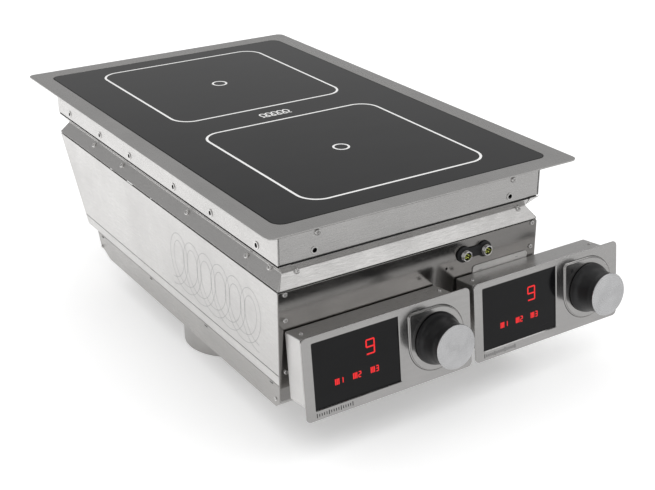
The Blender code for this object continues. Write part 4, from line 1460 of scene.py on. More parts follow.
@dataclass
class Waist(SubAssembly):
    """Cover folded to a V between skirt and housing.

    Attributes:
        upper: Half width and half length at its top.
        lower: Half width and half length at its bottom.
        lip: Width of the turned-in lip on top.
        top: Height of the lip.
        crease: Height of the crease.
        bottom: Height of the lower edge.
        run: Depth of the crease from the outer face.
        wall: Thickness of the sheet.
        side_screws: Place along the long sides and share of the lower flank above each screw.
        end_screws: The same for the short sides.
    """

    upper: tuple[float, float] = (172.3, 292.1)
    lower: tuple[float, float] = (173.0, 292.1)
    lip: float = 8.0
    top: float = -47.8
    crease: float = -59.9
    bottom: float = -74.5
    run: float = 10.8
    wall: float = 1.2
    side_screws: tuple[tuple[float, float], ...] = (
        (-261.0, 0.1),
        (-217.1, 0.33),
        (-79.4, 0.33),
        (99.7, 0.33),
        (188.1, 0.33),
    )
    end_screws: tuple[tuple[float, float], ...] = ((-145.0, 0.12), (151.0, 0.12))

    def build(self) -> None:
        """Make the cover: its folded section is carried round with mitred corners."""
        depth = self.lower[0] - self.upper[0]
        path = [(self.lip, self.top), (0.0, self.top), (self.run - depth, self.crease), (-depth, self.bottom)]
        wall = self.wall
        back = [(wall * 1.5 - depth, self.bottom), (self.run - depth + wall * 1.5, self.crease)]
        back.append((wall * 1.2, self.top - wall))
        loop = softened([*path, *back, (self.lip, self.top - wall)], 0.7, 4, closed=True)
        outline = rounded(*self.upper, 1.6, steps=3)
        skin = Skin()
        add_hoop(skin, [(outline, inset, height) for inset, height in loop], flat_over=1.0)
        self.add("waist_fold", skin, "waist_steel", "steel", replaces=["waist_cover"])
        self.add_screws()

    def add_screws(self) -> None:
        """Screws high on the lower flank."""
        fall, run = self.crease - self.bottom, self.run
        length = math.hypot(fall, run)
        heads = Skin()
        screw = Screw(3.4, 2.1, Drive.CROSS)
        places = []
        for sign in (-1, 1):
            out = (sign * fall / length, 0.0, run / length)
            up = (-sign * run / length, 0.0, fall / length)
            for y, share in self.side_screws:
                x = sign * (self.lower[0] - run * (1 - share))
                origin = (x, y, self.crease - fall * share)
                places.append(Placement(origin, (0.0, float(sign), 0.0), up, out))
            out = (0.0, sign * fall / length, run / length)
            up = (0.0, -sign * run / length, fall / length)
            for x, share in self.end_screws:
                y = sign * (self.lower[1] - run * (1 - share))
                origin = (x, y, self.crease - fall * share)
                places.append(Placement(origin, (float(-sign), 0.0, 0.0), up, out))
        for index, place in enumerate(places):
            screw.draw(heads, place, index * 37.0)
        self.add("waist_screws", heads, "screw_steel", "chrome")


@dataclass
class Housing(SubAssembly):
    """Housing of the generators: side, front and rear panels on a folded base.

    Attributes:
        half_x: Half of its width.
        front: Place of the front face.
        top: Height of the panels' tops.
        seam: Height of the side panels' lower edges.
        front_low: Height of the front panel's lower edge.
        slope: Forward run of the rear face for each unit of fall.
        rear_top: Place of the rear face at the panels' tops.
        wall: Thickness of the sheets.
        gap: Joint between the sheets.
    """

    half_x: float = 173.0
    front: float = -292.1
    top: float = -76.0
    seam: float = -172.9
    front_low: float = -203.3
    slope: float = 0.687
    rear_top: float = 291.07
    wall: float = 1.2
    gap: float = 0.3

    def rear(self, height: float) -> float:
        """Place of the rear face at a height."""
        return self.rear_top - self.slope * (self.top - height)

    def build(self) -> None:
        """Make the panels and what is on them."""
        self.add_sides()
        self.add_front()
        self.add_rear()
        self.add_outline_print()
        self.add_screws()
        for name, finish in (("base_tray", "side_steel"), ("bottom_pan", "pan_steel")):
            made = softened_copy(name, f"folded_{name}", 0.8)
            self.adopt(made.name, made, finish, "steel", replaces=[name])

    def add_sides(self) -> None:
        """Side panels, with the rounded bend along their front edges."""
        start = self.front + self.wall + self.gap
        skin = Skin()
        for side, sign in ((Side.LEFT, -1), (Side.RIGHT, 1)):
            points = [(start, self.seam), (self.rear(self.seam), self.seam), (self.rear(self.top), self.top)]
            points = [(y * sign, z) for y, z in [*points, (start, self.top)]]
            outline = Polygon(tuple(points if sign > 0 else points[::-1]), 0.8, 4)
            add_plate(skin, side.through(x=sign * self.half_x), outline, rim=soft_rim(0.0, -self.wall, 0.45))
        self.add("side_panels", skin, "side_steel", "steel", replaces=["left_side_panel", "right_side_panel"])

    def add_front(self) -> None:
        """Front panel with its socket holes."""
        middle = (self.top + self.front_low) / 2
        height = (self.top - self.front_low) / 2
        holes = [Round(6.4, (x, -93.2 - middle), 32) for x in (66.0, 95.0)]
        holes.append(Round(1.6, (43.0, -105.3 - middle), 20))
        skin = Skin()
        rim, hole_rim = soft_rim(0.0, -self.wall, 0.6), soft_rim(0.0, -self.wall, 0.2)
        face = Side.FRONT.through(y=self.front, z=middle)
        add_plate(skin, face, rounded(self.half_x, height, 3.0, steps=6), holes, rim, hole_rim)
        # its darker steel is painted shade and painted dark reflection
        self.add("front_sheet", skin, "panel_steel", "steel", replaces=["front_panel"])

    def add_rear(self) -> None:
        """Sloping rear panel with its two rows of air slots."""
        length = math.hypot(1.0, self.slope)
        out = (0.0, 1.0 / length, -self.slope / length)
        up = (0.0, self.slope / length, 1.0 / length)
        middle = (self.top + self.seam) / 2
        height = (self.top - self.seam) / 2 * length
        face = Placement((0.0, self.rear(middle), middle), (-1.0, 0.0, 0.0), up, out)
        columns = (np.arange(12) - 5.5) * 22.0
        slots = [rounded(3.0, 17.0, 2.9, (x, row * 22.0), 5) for x in columns for row in (-1, 1)]
        slots.append(Round(8.3, (-150.0, -35.0), 32))
        skin = Skin()
        rim = soft_rim(0.0, -self.wall, 0.35)
        add_plate(skin, face, rounded(self.half_x - self.wall - self.gap, height - 0.1, 1.0), slots, rim)
        self.add("rear_sheet", skin, "front_steel", "steel", replaces=["rear_panel"])
        gland = Skin()
        place = face.moved(-150.0, -35.0)
        body = [(0.01, 15.4), (6.6, 15.4), (7.0, 15.0), (8.8, 13.6), (9.4, 12.6), (9.4, 6.6), (9.6, 6.2)]
        body += [(11.2, 6.0), (11.2, 0.4), (8.0, 0.3), (8.0, -8.8), (0.01, -8.8)]
        add_turned(gland, place, softened(body, 0.4, 2), 48, flat_over=1.5)
        turn = np.radians(np.arange(6) * 60.0)
        nut = Polygon(tuple((12.0 * math.cos(a), 12.0 * math.sin(a)) for a in turn), 0.6, 3)
        add_plate(gland, place, nut, [Round(9.2, sides=36)], soft_rim(5.6, 0.35, 0.6))
        self.add("gland", gland, "inner_plastic", "black_plastic", replaces=["cable_gland"])

    def add_outline_print(self) -> None:
        """Looped coil line etched on the left panel, drawn as a pair of thin lines."""
        face = Side.LEFT.through(x=-self.half_x, y=-150.0, z=-129.0)
        skin = Skin()
        loops = coil_line(252.0, 60.0, 6, 560)
        for distance in (-4.5, 4.5):
            add_ribbon(skin, face, beside(loops, distance), 0.6)
        self.add("etched_outline", skin, "etched_line", "steel")

    def add_screws(self) -> None:
        """Panel screws, base tabs, and painted shade: near-black plates for the slots the tabs sit in and a strip
        behind the seam.
        """
        heads, slots = Skin(), Skin()
        front = Side.FRONT.through(y=self.front)
        for index, z in enumerate((-78.9, -108.3, -168.7)):
            for x in (-165.0, 165.0):
                Screw(2.9, 1.7, Drive.STAR).draw(heads, front.moved(x, z), 20.0 * index)
        for side, sign in ((Side.LEFT, -1), (Side.RIGHT, 1)):
            face = side.through(x=sign * self.half_x)
            for y, z in ((173.3, -203.2), (-283.5, -203.5)):
                Screw(2.4, 1.2, Drive.STAR).draw(heads, face.moved(sign * y, z), y)
            for y in (168.8, 19.5, -126.7, -274.6):
                # painted shade: a near-black plate for the shade inside the slot that this tab sits in
                tab = rounded(3.4, 0.8, 0.7, (sign * y, -187.6), 3)
                add_plate(slots, face, tab, rim=soft_rim(0.12, -0.6, 0.1))
                lug = rounded(2.9, 0.5, 0.4, (sign * y, -186.2), 3)
                add_plate(heads, face, lug, rim=soft_rim(0.5, -0.4, 0.3))
            # painted shade: a near-black strip behind the seam between side panel and base tray
            ends = (self.front + 2.0, self.rear(self.seam) - 2.0)
            centre = (sign * sum(ends) / 2, self.seam - 0.4)
            strip = rounded((ends[1] - ends[0]) / 2, 1.4, 0.2, centre, 2)
            add_plate(slots, face, strip, rim=soft_rim(-0.35, -1.0, 0.1))
        self.add("housing_screws", heads, "screw_steel", "chrome")
        # these near-black plates are painted shade
        self.add("tab_slots", slots, "dark_gap", "steel")


def softened_copy(node: str, name: str, width: float) -> bpy.types.Object:
    """Copy of a folded CAD sheet with its flat faces joined up and its folds rounded.

    Args:
        node: Name of the CAD node.
        name: Name of the copy.
        width: Width of the rounding in millimetres.

    Returns:
        The copy.
    """
    source = bpy.data.objects[node]
    made = bpy.data.objects.new(name, source.data.copy())
    made.data.name = name
    bpy.context.scene.collection.objects.link(made)
    form = bmesh.new()
    form.from_mesh(made.data)
    bmesh.ops.remove_doubles(form, verts=form.verts, dist=1e-6)
    bmesh.ops.dissolve_limit(form, angle_limit=math.radians(1.0), verts=form.verts, edges=form.edges)
    for face in form.faces:
        face.smooth = True
    form.to_mesh(made.data)
    form.free()
    bevel = made.modifiers.new("folds", "BEVEL")
    bevel.width = width * MM
    bevel.segments = 3
    bevel.limit_method = "ANGLE"
    bevel.angle_limit = math.radians(20.0)
    bevel.harden_normals = True
    return made


@dataclass
class AirSpigot(SubAssembly):
    """Round inlet under the pan, with the screws of its flange.

    Attributes:
        centre: Place of its axis.
        radius: Outer radius.
        flange: Width of its flange.
        top: Height of the flange.
        length: Length of the inlet.
        wall: Thickness of the sheet.
    """

    centre: tuple[float, float] = (-98.0, -49.6)
    radius: float = 60.0
    flange: float = 8.0
    top: float = -213.3
    length: float = 42.3
    wall: float = 1.2

    def build(self) -> None:
        """Make the inlet as one turned sheet with a soft root and a rolled rim, and its flange screws."""
        low = self.top - self.length
        profile = [(self.radius + self.flange, self.top), (self.radius + self.flange, self.top - self.wall)]
        profile += [(self.radius, self.top - self.wall), (self.radius, low), (self.radius - self.wall, low)]
        loop = softened([*profile, (self.radius - self.wall, self.top)], 0.5, 4, closed=True)
        skin = Skin()
        place = Side.TOP.through(*self.centre)
        add_turned(skin, place, loop, 96, closed=True, flat_over=1.0)
        self.add("air_inlet", skin, "spigot_steel", "steel", replaces=["air_spigot"])
        heads = Skin()
        under = Side.UNDER.through(self.centre[0], self.centre[1], self.top - self.wall)
        for index in range(6):
            turn = math.radians(30 + 60 * index)
            spot = under.moved(64.2 * math.cos(turn), 64.2 * math.sin(turn))
            Screw(2.2, 1.2, Drive.CROSS).draw(heads, spot, 25.0 * index)
        self.add("inlet_screws", heads, "screw_steel", "chrome")


@dataclass
class FrontFittings(SubAssembly):
    """Two control sockets on their gasket, and the rating plate without words.

    Attributes:
        front: Place of the face that they stand on.
        height: Height of the sockets' axes.
        across: Places of the sockets.
        radius: Outer radius of a socket.
        bore: Radius of its bore.
        mouth: How far its mouth stands out.
        depth: Depth of its bore.
        plate: Thickness of the gasket.
        plate_radius: Radius of the gasket's ends.
        label: Half width and half height of the rating plate.
        label_middle: Middle of the rating plate.
    """

    front: float = -292.4
    height: float = -93.2
    across: tuple[float, float] = (66.0, 95.0)
    radius: float = 6.2
    bore: float = 4.6
    mouth: float = 8.5
    depth: float = 6.0
    plate: float = 2.0
    plate_radius: float = 9.4
    label: tuple[float, float] = (40.0, 15.0)
    label_middle: tuple[float, float] = (120.0, -126.5)

    def build(self) -> None:
        """Make the gasket, sockets, contacts and plate."""
        face = Side.FRONT.through(y=self.front)
        left, right = ((x, self.height) for x in self.across)
        gasket = Skin()
        outline = DogBone(left, right, self.plate_radius, self.plate_radius * 0.62)
        holes = [Round(self.radius - 0.7, middle, 32) for middle in (left, right)]
        add_plate(gasket, face, outline, holes, soft_rim(self.plate, 0.0, 0.5), soft_rim(self.plate, 0.0, 0.2))
        self.add("socket_gasket", gasket, "black_sealant", "black_plastic", replaces=["socket_plate"])
        rings, cores, pins = Skin(), Skin(), Skin()
        floor = self.mouth - self.depth
        for middle in (left, right):
            place = face.moved(*middle)
            self.add_ring(rings, place)
            core = [(0.01, floor), (self.bore - 0.15, floor)]
            core += [(self.bore - 0.1, floor - 2.0), (0.01, floor - 2.0)]
            add_turned(cores, place, core, 32, flat_over=1.0)
            for index in range(5):
                turn = math.radians(72 * index + 18)
                spot = place.moved(2.5 * math.cos(turn), 2.5 * math.sin(turn))
                pin = [(0.01, floor + 4.6), (0.45, floor + 4.5), (0.75, floor + 4.1), (0.75, floor - 0.5)]
                add_turned(pins, spot, [*pin, (0.01, floor - 0.5)], 12, flat_over=2.0)
        self.add("socket_rings", rings, "chromed", "chrome", replaces=["left_socket", "right_socket"])
        self.add("socket_cores", cores, "inner_plastic", "black_plastic")
        self.add("socket_contacts", pins, "contact_gold", "black_plastic")
        self.add_label(face)

    def add_ring(self, skin: Skin, place: Placement) -> None:
        """Threaded shell: the thread is a row of small even steps along the outside."""
        mouth, outer, bore = self.mouth, self.radius, self.bore
        loop = [(bore, mouth - 0.3), (bore + 0.3, mouth), (outer - 0.5, mouth), (outer - 0.1, mouth - 0.4)]
        for step in np.arange(mouth - 0.9, self.plate + 2.0, -0.9):
            loop += [(outer, step), (outer - 0.4, step - 0.25), (outer - 0.4, step - 0.45), (outer, step - 0.7)]
        loop += [(outer, self.plate + 0.4), (outer - 1.0, self.plate + 0.3), (outer - 1.0, -7.8), (bore, -7.8)]
        add_turned(skin, place, loop, 48, closed=True, flat_over=1.2)

    def add_label(self, face: Placement) -> None:
        """Rating plate with two short index marks."""
        plate, marks = Skin(), Skin()
        outline = rounded(*self.label, 4.0, self.label_middle, 6)
        add_plate(plate, face, outline, rim=soft_rim(0.8, 0.0, 0.25))
        top = face.moved(0.0, 0.0, 0.8)
        for x, y in ((90.7, -118.1), (144.6, -115.9)):
            add_ribbon(marks, top, stroke((x - 2.2, y), (x + 2.2, y)), 0.8)
        for row in range(3):
            y = -126.0 - 3.4 * row
            add_ribbon(marks, top, stroke((88.0, y), (118.0 - 5.0 * row, y)), 0.45)
        self.add("rating_plate", plate, "label_steel", "steel", replaces=["label_plate"])
        self.add("rating_marks", marks, "etched_line", "steel")


@dataclass
class ControlModule(SubAssembly):
    """Remote control: tilted face plate with a pressed boss, folded box, display and its lit marks.

    Attributes:
        side: Name of the side it stands on.
        place: Placement of its face's middle.
        half: Half width and half height of the face.
        corner: Corner radius of the face.
        wall: Thickness of the face plate.
        box: Left and right edges, foot, top, front and back of the box.
        sheet: Thickness of the box's sheet.
        window: Lowest and highest corner of the display's opening.
        axis: Place of the knob's axis.
        boss: Radius, corner radius and height of the boss.
        bush: Radius of the hole for the encoder's bush.
        glass: Height of the display glass.
    """

    side: str
    place: Placement
    half: tuple[float, float] = (108.6, 47.05)
    corner: float = 6.0
    wall: float = 1.5
    box: tuple[float, float, float, float, float, float] = (-108.3, 85.2, -29.5, 46.75, -1.8, -31.2)
    sheet: float = 1.2
    window: tuple[float, float, float, float] = (-96.0, -35.9, 12.2, 38.8)
    axis: tuple[float, float] = (61.0, 1.1)
    boss: tuple[float, float, float] = (36.0, 4.0, 2.0)
    bush: float = 5.3
    glass: float = -1.8

    def build(self) -> None:
        """Make the plate, the boss, the box, the marks and the screws."""
        self.add_face()
        self.add_box()
        self.add_marks()

    def add_face(self) -> None:
        """Face plate with its chamfered display opening, and the boss that flares out of it."""
        radius, corner, height = self.boss
        low_x, low_y, high_x, high_y = self.window
        middle = ((low_x + high_x) / 2, (low_y + high_y) / 2)
        window = rounded((high_x - low_x) / 2, (high_y - low_y) / 2, 0.5, middle, 2)
        foot = Teardrop(radius + 1.0, corner + 1.0, self.axis)
        skin = Skin()
        outline = rounded(*self.half, self.corner, steps=8)
        rim, chamfer = soft_rim(0.0, -self.wall, 0.6), soft_rim(0.0, -self.wall, 0.9, chamfer=True)
        add_plate(skin, self.place, outline, [window, foot], rim, chamfer)
        crown = rounding(0.7, 4)
        steps = [(inset, height - drop) for inset, drop in crown]
        turn = np.linspace(0.0, math.pi / 2, 5)
        steps += [(-1.0 + math.cos(a) * 1.0, 0.9 - math.sin(a) * 0.9) for a in turn]
        steps += [(-1.04, -0.2), (-1.04, -0.7)]
        add_plate(
            skin,
            self.place,
            Teardrop(radius, corner, self.axis),
            [Round(self.bush, self.axis, 32)],
            np.array(steps),
            soft_rim(height, -0.7, 0.2),
        )
        self.add(f"{self.side}_face", skin, "module_steel", "steel", replaces=[f"{self.side}_face_plate"])
        mark = Skin()
        corners = ((32.6, 25.6), (38.2, 25.6), (35.4, 30.6))
        spot = self.place.moved(0.0, 0.0, height)
        add_plate(mark, spot, Polygon(corners, 0.25, 3), rim=soft_rim(0.06, -0.2, 0.03))
        self.add(f"{self.side}_index", mark, "black_print", "steel")

    def add_box(self) -> None:
        """Open-fronted folded box with its cable hole, and the screws along its top."""
        left, right, foot, top, front, back = self.box
        middle = ((left + right) / 2, (foot + top) / 2)
        outline = rounded((right - left) / 2, (top - foot) / 2, 1.6, middle, 4)
        hole = Round(8.0, (0.0, -10.0), 24)
        steps = [(self.sheet, back + self.sheet), (self.sheet, front), (0.2, front), (0.0, front - 0.2)]
        steps += [(inset, back + drop) for inset, drop in rounding(1.2, 4)[::-1]]
        steps = np.array(steps)
        skin = Skin()
        flat = np.stack([outline.ring(inset) for inset in steps[:, 0]])
        count = flat.shape[1]
        begin = skin.grid(self.place.at(flat, np.repeat(steps[:, 1, None], count, axis=1)), flat_over=1.0)
        ends = (begin, begin + (len(steps) - 1) * count)
        bore = np.stack([hole.ring()[::-1]] * 2)
        heights = np.repeat([[back + self.sheet], [back]], bore.shape[1], axis=1)
        inner = skin.grid(self.place.at(bore, heights), flat_over=1.0)
        skin.cap([flat[0], bore[0]], [ends[0], inner], True)
        skin.cap([flat[-1], bore[1]], [ends[1], inner + bore.shape[1]], False)
        self.add(f"{self.side}_box", skin, "box_steel", "steel", replaces=[f"{self.side}_module_box"])
        heads = Skin()
        up, out = self.place.up, self.place.out
        back_way = tuple(-part for part in out)
        for across in (-99.0, 78.0):
            for sign in (-1, 1):
                origin = self.place.at(np.array([across, top if sign > 0 else foot]), -14.2)
                right_way = tuple(sign * part for part in self.place.right)
                spot = Placement(tuple(origin), right_way, back_way, tuple(sign * part for part in up))
                Screw(2.5, 1.3, Drive.CROSS).draw(heads, spot, across)
        self.add(f"{self.side}_box_screws", heads, "screw_steel", "chrome")

    def add_marks(self) -> None:
        """Lit digit and bar marks on the display, and a row of small engraved ticks under it."""
        lit, ticks = Skin(), Skin()
        glass = self.place.moved(0.0, 0.0, self.glass)
        for path in self.digit(9, (-24.1, 15.3), (10.0, 16.0)):
            add_ribbon(lit, glass, path, 1.7, 0.08)
        for number, across in enumerate((-64.9, -42.4, -20.1), start=1):
            for bar in (-4.6, -2.6, -0.6):
                add_ribbon(lit, glass, stroke((across + bar, -15.4), (across + bar, -8.6)), 1.5, 0.08)
            for path in self.digit(number, (across + 3.2, -12.0), (2.8, 6.0)):
                add_ribbon(lit, glass, path, 1.2, 0.08)
        self.add(f"{self.side}_lights", lit, "red_light", "black_glass")
        for index in range(16):
            x = -95.5 + 2.95 * index
            tall = 2.5 if index % 5 == 0 else 1.6
            add_ribbon(ticks, self.place, stroke((x, -41.5 - tall), (x, -41.5 + tall), spacing=0.5), 1.0)
        self.add(f"{self.side}_ticks", ticks, "black_print", "steel")

    @staticmethod
    def digit(number: int, middle: tuple[float, float], size: tuple[float, float]) -> list[np.ndarray]:
        """Seven-segment number.

        Args:
            number: 1, 2, 3 or 9.
            middle: Middle of the digit.
            size: Distances between its upright and between its level segments.

        Returns:
            A path for each lit segment.
        """
        (x, y), w, h = middle, size[0] / 2, size[1] / 2
        segments = {
            "top": stroke((x - w, y + h), (x + w, y + h)),
            "middle": stroke((x - w, y), (x + w, y)),
            "bottom": stroke((x - w, y - h), (x + w, y - h)),
            "high_left": stroke((x - w, y + h), (x - w, y)),
            "high_right": stroke((x + w, y + h), (x + w, y)),
            "low_left": stroke((x - w, y), (x - w, y - h)),
            "low_right": stroke((x + w, y), (x + w, y - h)),
        }
        lit = {
            1: ("high_right", "low_right"),
            2: ("top", "high_right", "middle", "low_left", "bottom"),
            3: ("top", "high_right", "middle", "low_right", "bottom"),
            9: ("top", "high_left", "high_right", "middle", "low_right", "bottom"),
        }
        return [segments[name] for name in lit[number]]


@dataclass
class Knob(SubAssembly):
    """Waisted knob with a turned metal cap, riding on its own body.

    Attributes:
        side: Name of the side it stands on.
        place: Placement on its axis, in the module's face.
        base: Radius at its foot.
        waist: Radius at its narrowest.
        cap: Radius of its cap.
        low: Height of its foot.
        top: Height of its cap.
        cap_wall: Thickness of the cap.
        bore: Radius of the shaft's bore.
    """

    side: str
    place: Placement
    base: float = 29.8
    waist: float = 24.2
    cap: float = 25.3
    low: float = 2.6
    top: float = 34.5
    cap_wall: float = 1.2
    bore: float = 3.3

    def build(self) -> None:
        """Make the body, whose flank is one flowing curve, and the cap."""
        high = self.top - self.cap_wall - 0.3
        flank = [(self.cap - 1.0, high), (self.cap - 0.5, high - 0.6), (self.waist + 0.25, high - 5.0)]
        flank += [(self.waist, high - 9.0), (self.waist + 0.8, high - 14.5), (self.base - 3.6, self.low + 9.5)]
        flank += [(self.base - 1.3, self.low + 5.2), (self.base - 0.25, self.low + 2.0)]
        flank.append((self.base, self.low + 0.5))
        curve = flowing(flank, 5)
        inside = [(self.base - 0.3, self.low), (self.base - 2.5, self.low), (self.base - 2.8, self.low + 3.5)]
        inside += [(self.waist - 2.0, high - 14.0), (self.waist - 3.0, high - 9.0), (10.0, high - 8.0)]
        inside += [(self.bore + 4, high - 12.0), (self.bore + 4, self.low + 2.0), (self.bore, self.low + 2.0)]
        inside += [(self.bore, high - 8.0), (0.01, high - 8.0)]
        body = f"{self.side}_knob_body"
        skin = Skin()
        profile = np.concatenate([[(0.01, high), (self.cap - 2.5, high)], curve, inside])
        add_turned(skin, self.place, profile, 96, flat_over=3.4)
        self.add(f"{self.side}_grip", skin, "satin_black", "black_plastic", body, [f"{self.side}_knob"])
        disc = [(0.01, self.top), (4.0, self.top), (self.cap - 1.1, self.top), (self.cap - 0.5, self.top - 0.1)]
        disc += [(self.cap - 0.12, self.top - 0.42), (self.cap, self.top - 0.8)]
        disc.append((self.cap - 0.1, self.top - self.cap_wall))
        cap = Skin()
        add_turned(cap, self.place, [*disc, (0.01, self.top - self.cap_wall)], 96, flat_over=2.0)
        self.add(f"{self.side}_cap", cap, f"{self.side}_cap_metal", "aluminium", body, [f"{self.side}_knob_cap"])

    def dress(self, finishes: Finishes) -> None:
        """Give the cap rings about its own axis, then dress as usual."""
        finishes.also(TurnedMetal(f"{self.side}_cap_metal", self.place.origin, self.place.out))
        super().dress(finishes)


@dataclass
class InnerParts(SubAssembly):
    """CAD nodes that keep their shape and get a finish: coils, boards, fan, seals and the encoders.

    Attributes:
        kinds: Finish for each ending of a node's name.
    """

    kinds: dict[str, str] = field(
        default_factory=lambda: {
            "glass_seal": "black_sealant",
            "waist_seal": "black_sealant",
            "coil_tray": "aluminium",
            "heat_sink": "aluminium",
            "insulation_sheet": "mica_sheet",
            "front_coil": "front_winding",
            "rear_coil": "rear_winding",
            "coil_carrier": "inner_plastic",
            "ferrites": "ferrite",
            "filter_choke": "ferrite",
            "temperature_sensor": "sensor_ceramic",
            "power_board": "board_lacquer",
            "filter_board": "board_lacquer",
            "display_board": "board_lacquer",
            "display_window": "display_glass",
            "filter_capacitor": "inner_plastic",
            "terminal_block": "inner_plastic",
            "fan_frame": "inner_plastic",
            "fan_impeller": "inner_plastic",
            "fan_guard": "spigot_steel",
            "encoder": "inner_plastic",
            "knob_shaft": "shaft_metal",
        }
    )

    def build(self) -> None:
        """Nothing is made: the nodes come with the frame."""

    def dress(self, finishes: Finishes) -> None:
        """Give each shown node the finish that its name's ending asks for.

        Args:
            finishes: The shared finishes.
        """
        for name in ("front", "rear"):
            low, high = extent(f"{name}_coil")
            finishes.also(Winding(f"{name}_winding", tuple((low + high) / 2)))
        for node in bpy.data.objects:
            if "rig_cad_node" not in node or node.hide_render:
                continue
            fitting = (kind for ending, kind in self.kinds.items() if node.name.endswith(ending))
            finish = next(fitting, "inner_steel")
            node.data.materials.clear()
            node.data.materials.append(finishes[finish])
            log.info("InnerParts: %s is %s", node.name, finish)


# ====================================================================== studio


@dataclass(frozen=True)
class Card:
    """Flat panel that only shows in reflections.

    Attributes:
        name: Its name.
        middle: Its middle in metres.
        size: Its width and depth in metres.
        tilt: Turn about X, Y and Z in degrees.
        bright: Brightness at its front edge.
        dark: Brightness where it has faded.
        fade: Share of its depth over which it fades.
    """

    name: str
    middle: tuple[float, float, float]
    size: tuple[float, float]
    tilt: tuple[float, float, float]
    bright: float
    dark: float
    fade: float


@dataclass(frozen=True)
class SoftBox:
    """Area light.

    Attributes:
        name: Its name.
        place: Where it stands, in metres.
        aim: Point it faces, in metres.
        size: Width and height in metres.
        power: Power in watts.
        shiny: Show it in reflections.
    """

    name: str
    place: tuple[float, float, float]
    aim: tuple[float, float, float]
    size: tuple[float, float]
    power: float
    shiny: bool = True


@dataclass
class Studio:
    """Pale floor, soft lights, reflection cards and the camera.

    Attributes:
        floor: Height of the floor in metres.
        world: Brightness of the surroundings.
        lift: Light that the backlit floor gives off.
        azimuth: Camera's direction round the object in degrees, from the front towards the right.
        elevation: Camera's height angle in degrees.
        roll: Camera's roll in degrees.
        stand: Camera's place in metres.
        lens: Focal length in millimetres for a sensor 36 mm wide.
    """

    floor: float = -0.2557
    world: float = 0.43
    lift: float = 0.3
    azimuth: float = -32.8885
    elevation: float = 24.7635
    roll: float = -0.154
    stand: tuple[float, float, float] = (-0.711996, -1.217916, 0.471877)
    lens: float = 65.73
    cards: tuple[Card, ...] = (
        Card("grey_card", (0.2, -0.975, -0.2535), (2.8, 1.29), (0.0, 0.0, 0.0), 0.66, 0.6, 1.0),
        Card("dark_card", (-0.035, -0.356, -0.1135), (0.29, 0.046), (0.0, 0.0, 0.0), 0.03, 0.03, 1.0),
    )
    boxes: tuple[SoftBox, ...] = (
        SoftBox("key", (1.35, -1.75, 1.55), (0.0, -0.2, -0.1), (1.6, 1.1), 4.6),
        SoftBox("fill", (-2.6, 0.6, 1.6), (0.0, 0.0, -0.1), (1.6, 1.6), 4.0),
        SoftBox("overhead", (0.0, 0.6, 3.2), (0.0, 0.0, -0.2), (8.0, 8.0), 180.0, False),
    )

    def build(self) -> None:
        """Make the whole studio."""
        self.add_floor()
        for card in self.cards:
            self.add_card(card)
        for box in self.boxes:
            self.add_box(box)
        self.add_world()
        self.add_camera()
        log.info("Studio: floor, %d cards, %d lights and a camera", len(self.cards), len(self.boxes))

    def sheet(self, name: str, size: tuple[float, float], rows: int = 2) -> bpy.types.Object:
        """Flat grid about the origin.

        Args:
            name: Its name.
            size: Width and depth in metres.
            rows: Points along each side.

        Returns:
            The object.
        """
        x, y = np.meshgrid(np.linspace(-0.5, 0.5, rows) * size[0], np.linspace(-0.5, 0.5, rows) * size[1])
        points = np.stack([x, y, np.zeros_like(x)], axis=-1).reshape(-1, 3)
        first = (np.arange(rows - 1)[:, None] * rows + np.arange(rows - 1)).reshape(-1)
        faces = np.stack([first, first + 1, first + rows + 1, first + rows], axis=-1)
        mesh = bpy.data.meshes.new(name)
        mesh.from_pydata(points.tolist(), [], faces.tolist())
        made = bpy.data.objects.new(name, mesh)
        bpy.context.scene.collection.objects.link(made)
        return made

    def add_floor(self) -> None:
        """White floor, wide enough that no edge of it shows."""
        made = self.sheet("studio_floor", (16.0, 16.0), 5)
        made.location = (0.0, 2.0, self.floor)
        tones = ((0.93, 0.93, 0.93), (0.915, 0.915, 0.915))
        finish = Moulded("floor_paper", *tones, gloss=0.85, texture=300.0, relief=0.01)
        paper = finish.make()
        shader = next(node for node in paper.node_tree.nodes if node.type == "BSDF_PRINCIPLED")
        shader.inputs["Emission Color"].default_value = (1.0, 1.0, 1.0, 1.0)
        shader.inputs["Emission Strength"].default_value = self.lift
        made.data.materials.append(paper)

    def add_card(self, card: Card) -> None:
        """Card whose brightness runs evenly from one edge to the other.

        Args:
            card: What to make.
        """
        made = self.sheet(card.name, card.size)
        made.location = card.middle
        made.rotation_euler = [math.radians(part) for part in card.tilt]
        made.visible_camera = made.visible_diffuse = made.visible_shadow = False
        made.visible_transmission = False
        graph = NodeGraph(card.name)
        along = graph.add("ShaderNodeSeparateXYZ", {0: graph.place()}).outputs[1]
        start = -card.size[1] / 2
        tone = graph.spread(along, card.bright, card.dark, start, start + card.size[1] * card.fade)
        colour = graph.blend(tone, (0.0, 0.0, 0.0), (1.0, 1.0, 1.0))
        graph.shade(Base_Color=(0, 0, 0, 1), Roughness=1.0, Specular_IOR_Level=0.0)
        graph.shade(Emission_Color=colour, Emission_Strength=1.0)
        made.data.materials.append(graph.material)

    def add_box(self, box: SoftBox) -> None:
        """Rectangular area light that faces its aim.

        Args:
            box: What to make.
        """
        lamp = bpy.data.lights.new(box.name, "AREA")
        lamp.shape = "RECTANGLE"
        lamp.size, lamp.size_y = box.size
        lamp.energy = box.power
        made = bpy.data.objects.new(box.name, lamp)
        bpy.context.scene.collection.objects.link(made)
        way = Vector(box.aim) - Vector(box.place)
        made.location = box.place
        made.rotation_euler = way.to_track_quat("-Z", "Y").to_euler()
        made.visible_camera = False
        made.visible_glossy = box.shiny

    def add_world(self) -> None:
        """Even grey surroundings."""
        world = bpy.data.worlds.new("studio_world")
        world.use_nodes = True
        sky = world.node_tree.nodes["Background"]
        sky.inputs["Color"].default_value = (self.world, self.world, self.world, 1.0)
        sky.inputs["Strength"].default_value = 1.0
        bpy.context.scene.world = world

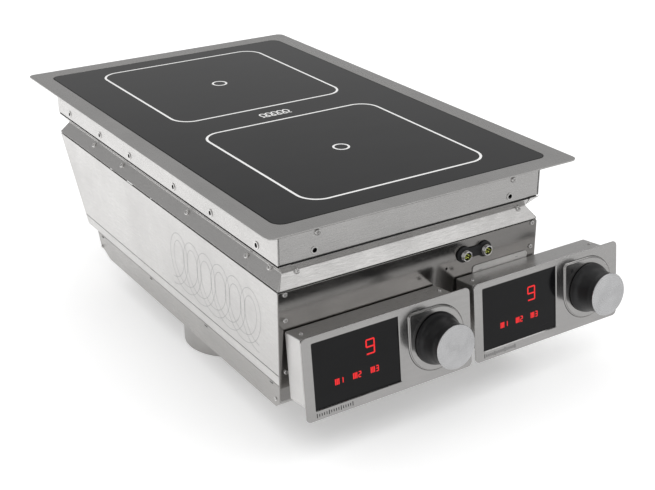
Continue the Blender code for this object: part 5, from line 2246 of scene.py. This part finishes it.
    def add_camera(self) -> None:
        """Camera turned by azimuth, elevation and roll."""
        side, height = math.radians(self.azimuth), math.radians(self.elevation)
        back = Vector((math.sin(side) * math.cos(height), -math.cos(side) * math.cos(height), math.sin(height)))
        right = Vector((math.cos(side), math.sin(side), 0.0))
        up = back.cross(right)
        turn = Matrix((right, up, back)).transposed() @ Matrix.Rotation(math.radians(self.roll), 3, "Z")
        view = bpy.data.cameras.new("camera")
        view.lens = self.lens
        view.sensor_width = 36.0
        view.sensor_fit = "HORIZONTAL"
        view.clip_start, view.clip_end = 0.02, 60.0
        made = bpy.data.objects.new("camera", view)
        made.matrix_world = Matrix.Translation(self.stand) @ turn.to_4x4()
        bpy.context.scene.collection.objects.link(made)
        bpy.context.scene.camera = made


# ====================================================================== the whole cooktop


def module_places(joints: Sequence[dict[str, Any]]) -> dict[str, tuple[Placement, Placement]]:
    """Placements of the two control modules and of their knobs, from the joints that turn the knobs.

    Args:
        joints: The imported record's joints.

    Returns:
        For each side, the face's placement and the knob axis's placement.
    """
    found = {}
    knob = np.array(ControlModule.axis)
    for joint in joints:
        if not joint["name"].endswith("_knob_turn"):
            continue
        out = -np.array(joint["axis"], dtype=float)
        out /= np.linalg.norm(out)
        up = np.array([0.0, out[2], -out[1]])
        axis_spot = np.array(joint["pos_m"], dtype=float) / MM
        right = (1.0, 0.0, 0.0)
        axis_place = Placement(tuple(axis_spot), right, tuple(up), tuple(out))
        origin = axis_place.at(-knob)
        side = joint["name"].split("_")[0]
        found[side] = (Placement(tuple(origin), right, tuple(up), tuple(out)), axis_place)
    return found


def main() -> None:
    """Build every sub-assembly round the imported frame, then the studio."""
    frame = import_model()
    finishes = Finishes()
    assemblies: list[SubAssembly] = [TopFrame(), GlassTop(), Skirt(), Waist(), Housing()]
    assemblies += [AirSpigot(), FrontFittings()]
    for side, (face, axis) in module_places(frame["joints"]).items():
        assemblies += [ControlModule(side, face), Knob(side, axis)]
    for assembly in [*assemblies, InnerParts()]:
        assembly.make(finishes)
    Studio().build()
    bpy.context.scene.view_settings.view_transform = "Standard"
    bpy.context.view_layer.update()


if __name__ == "__main__":
    logging.basicConfig(level=logging.INFO, format="%(name)s: %(message)s")
    main()
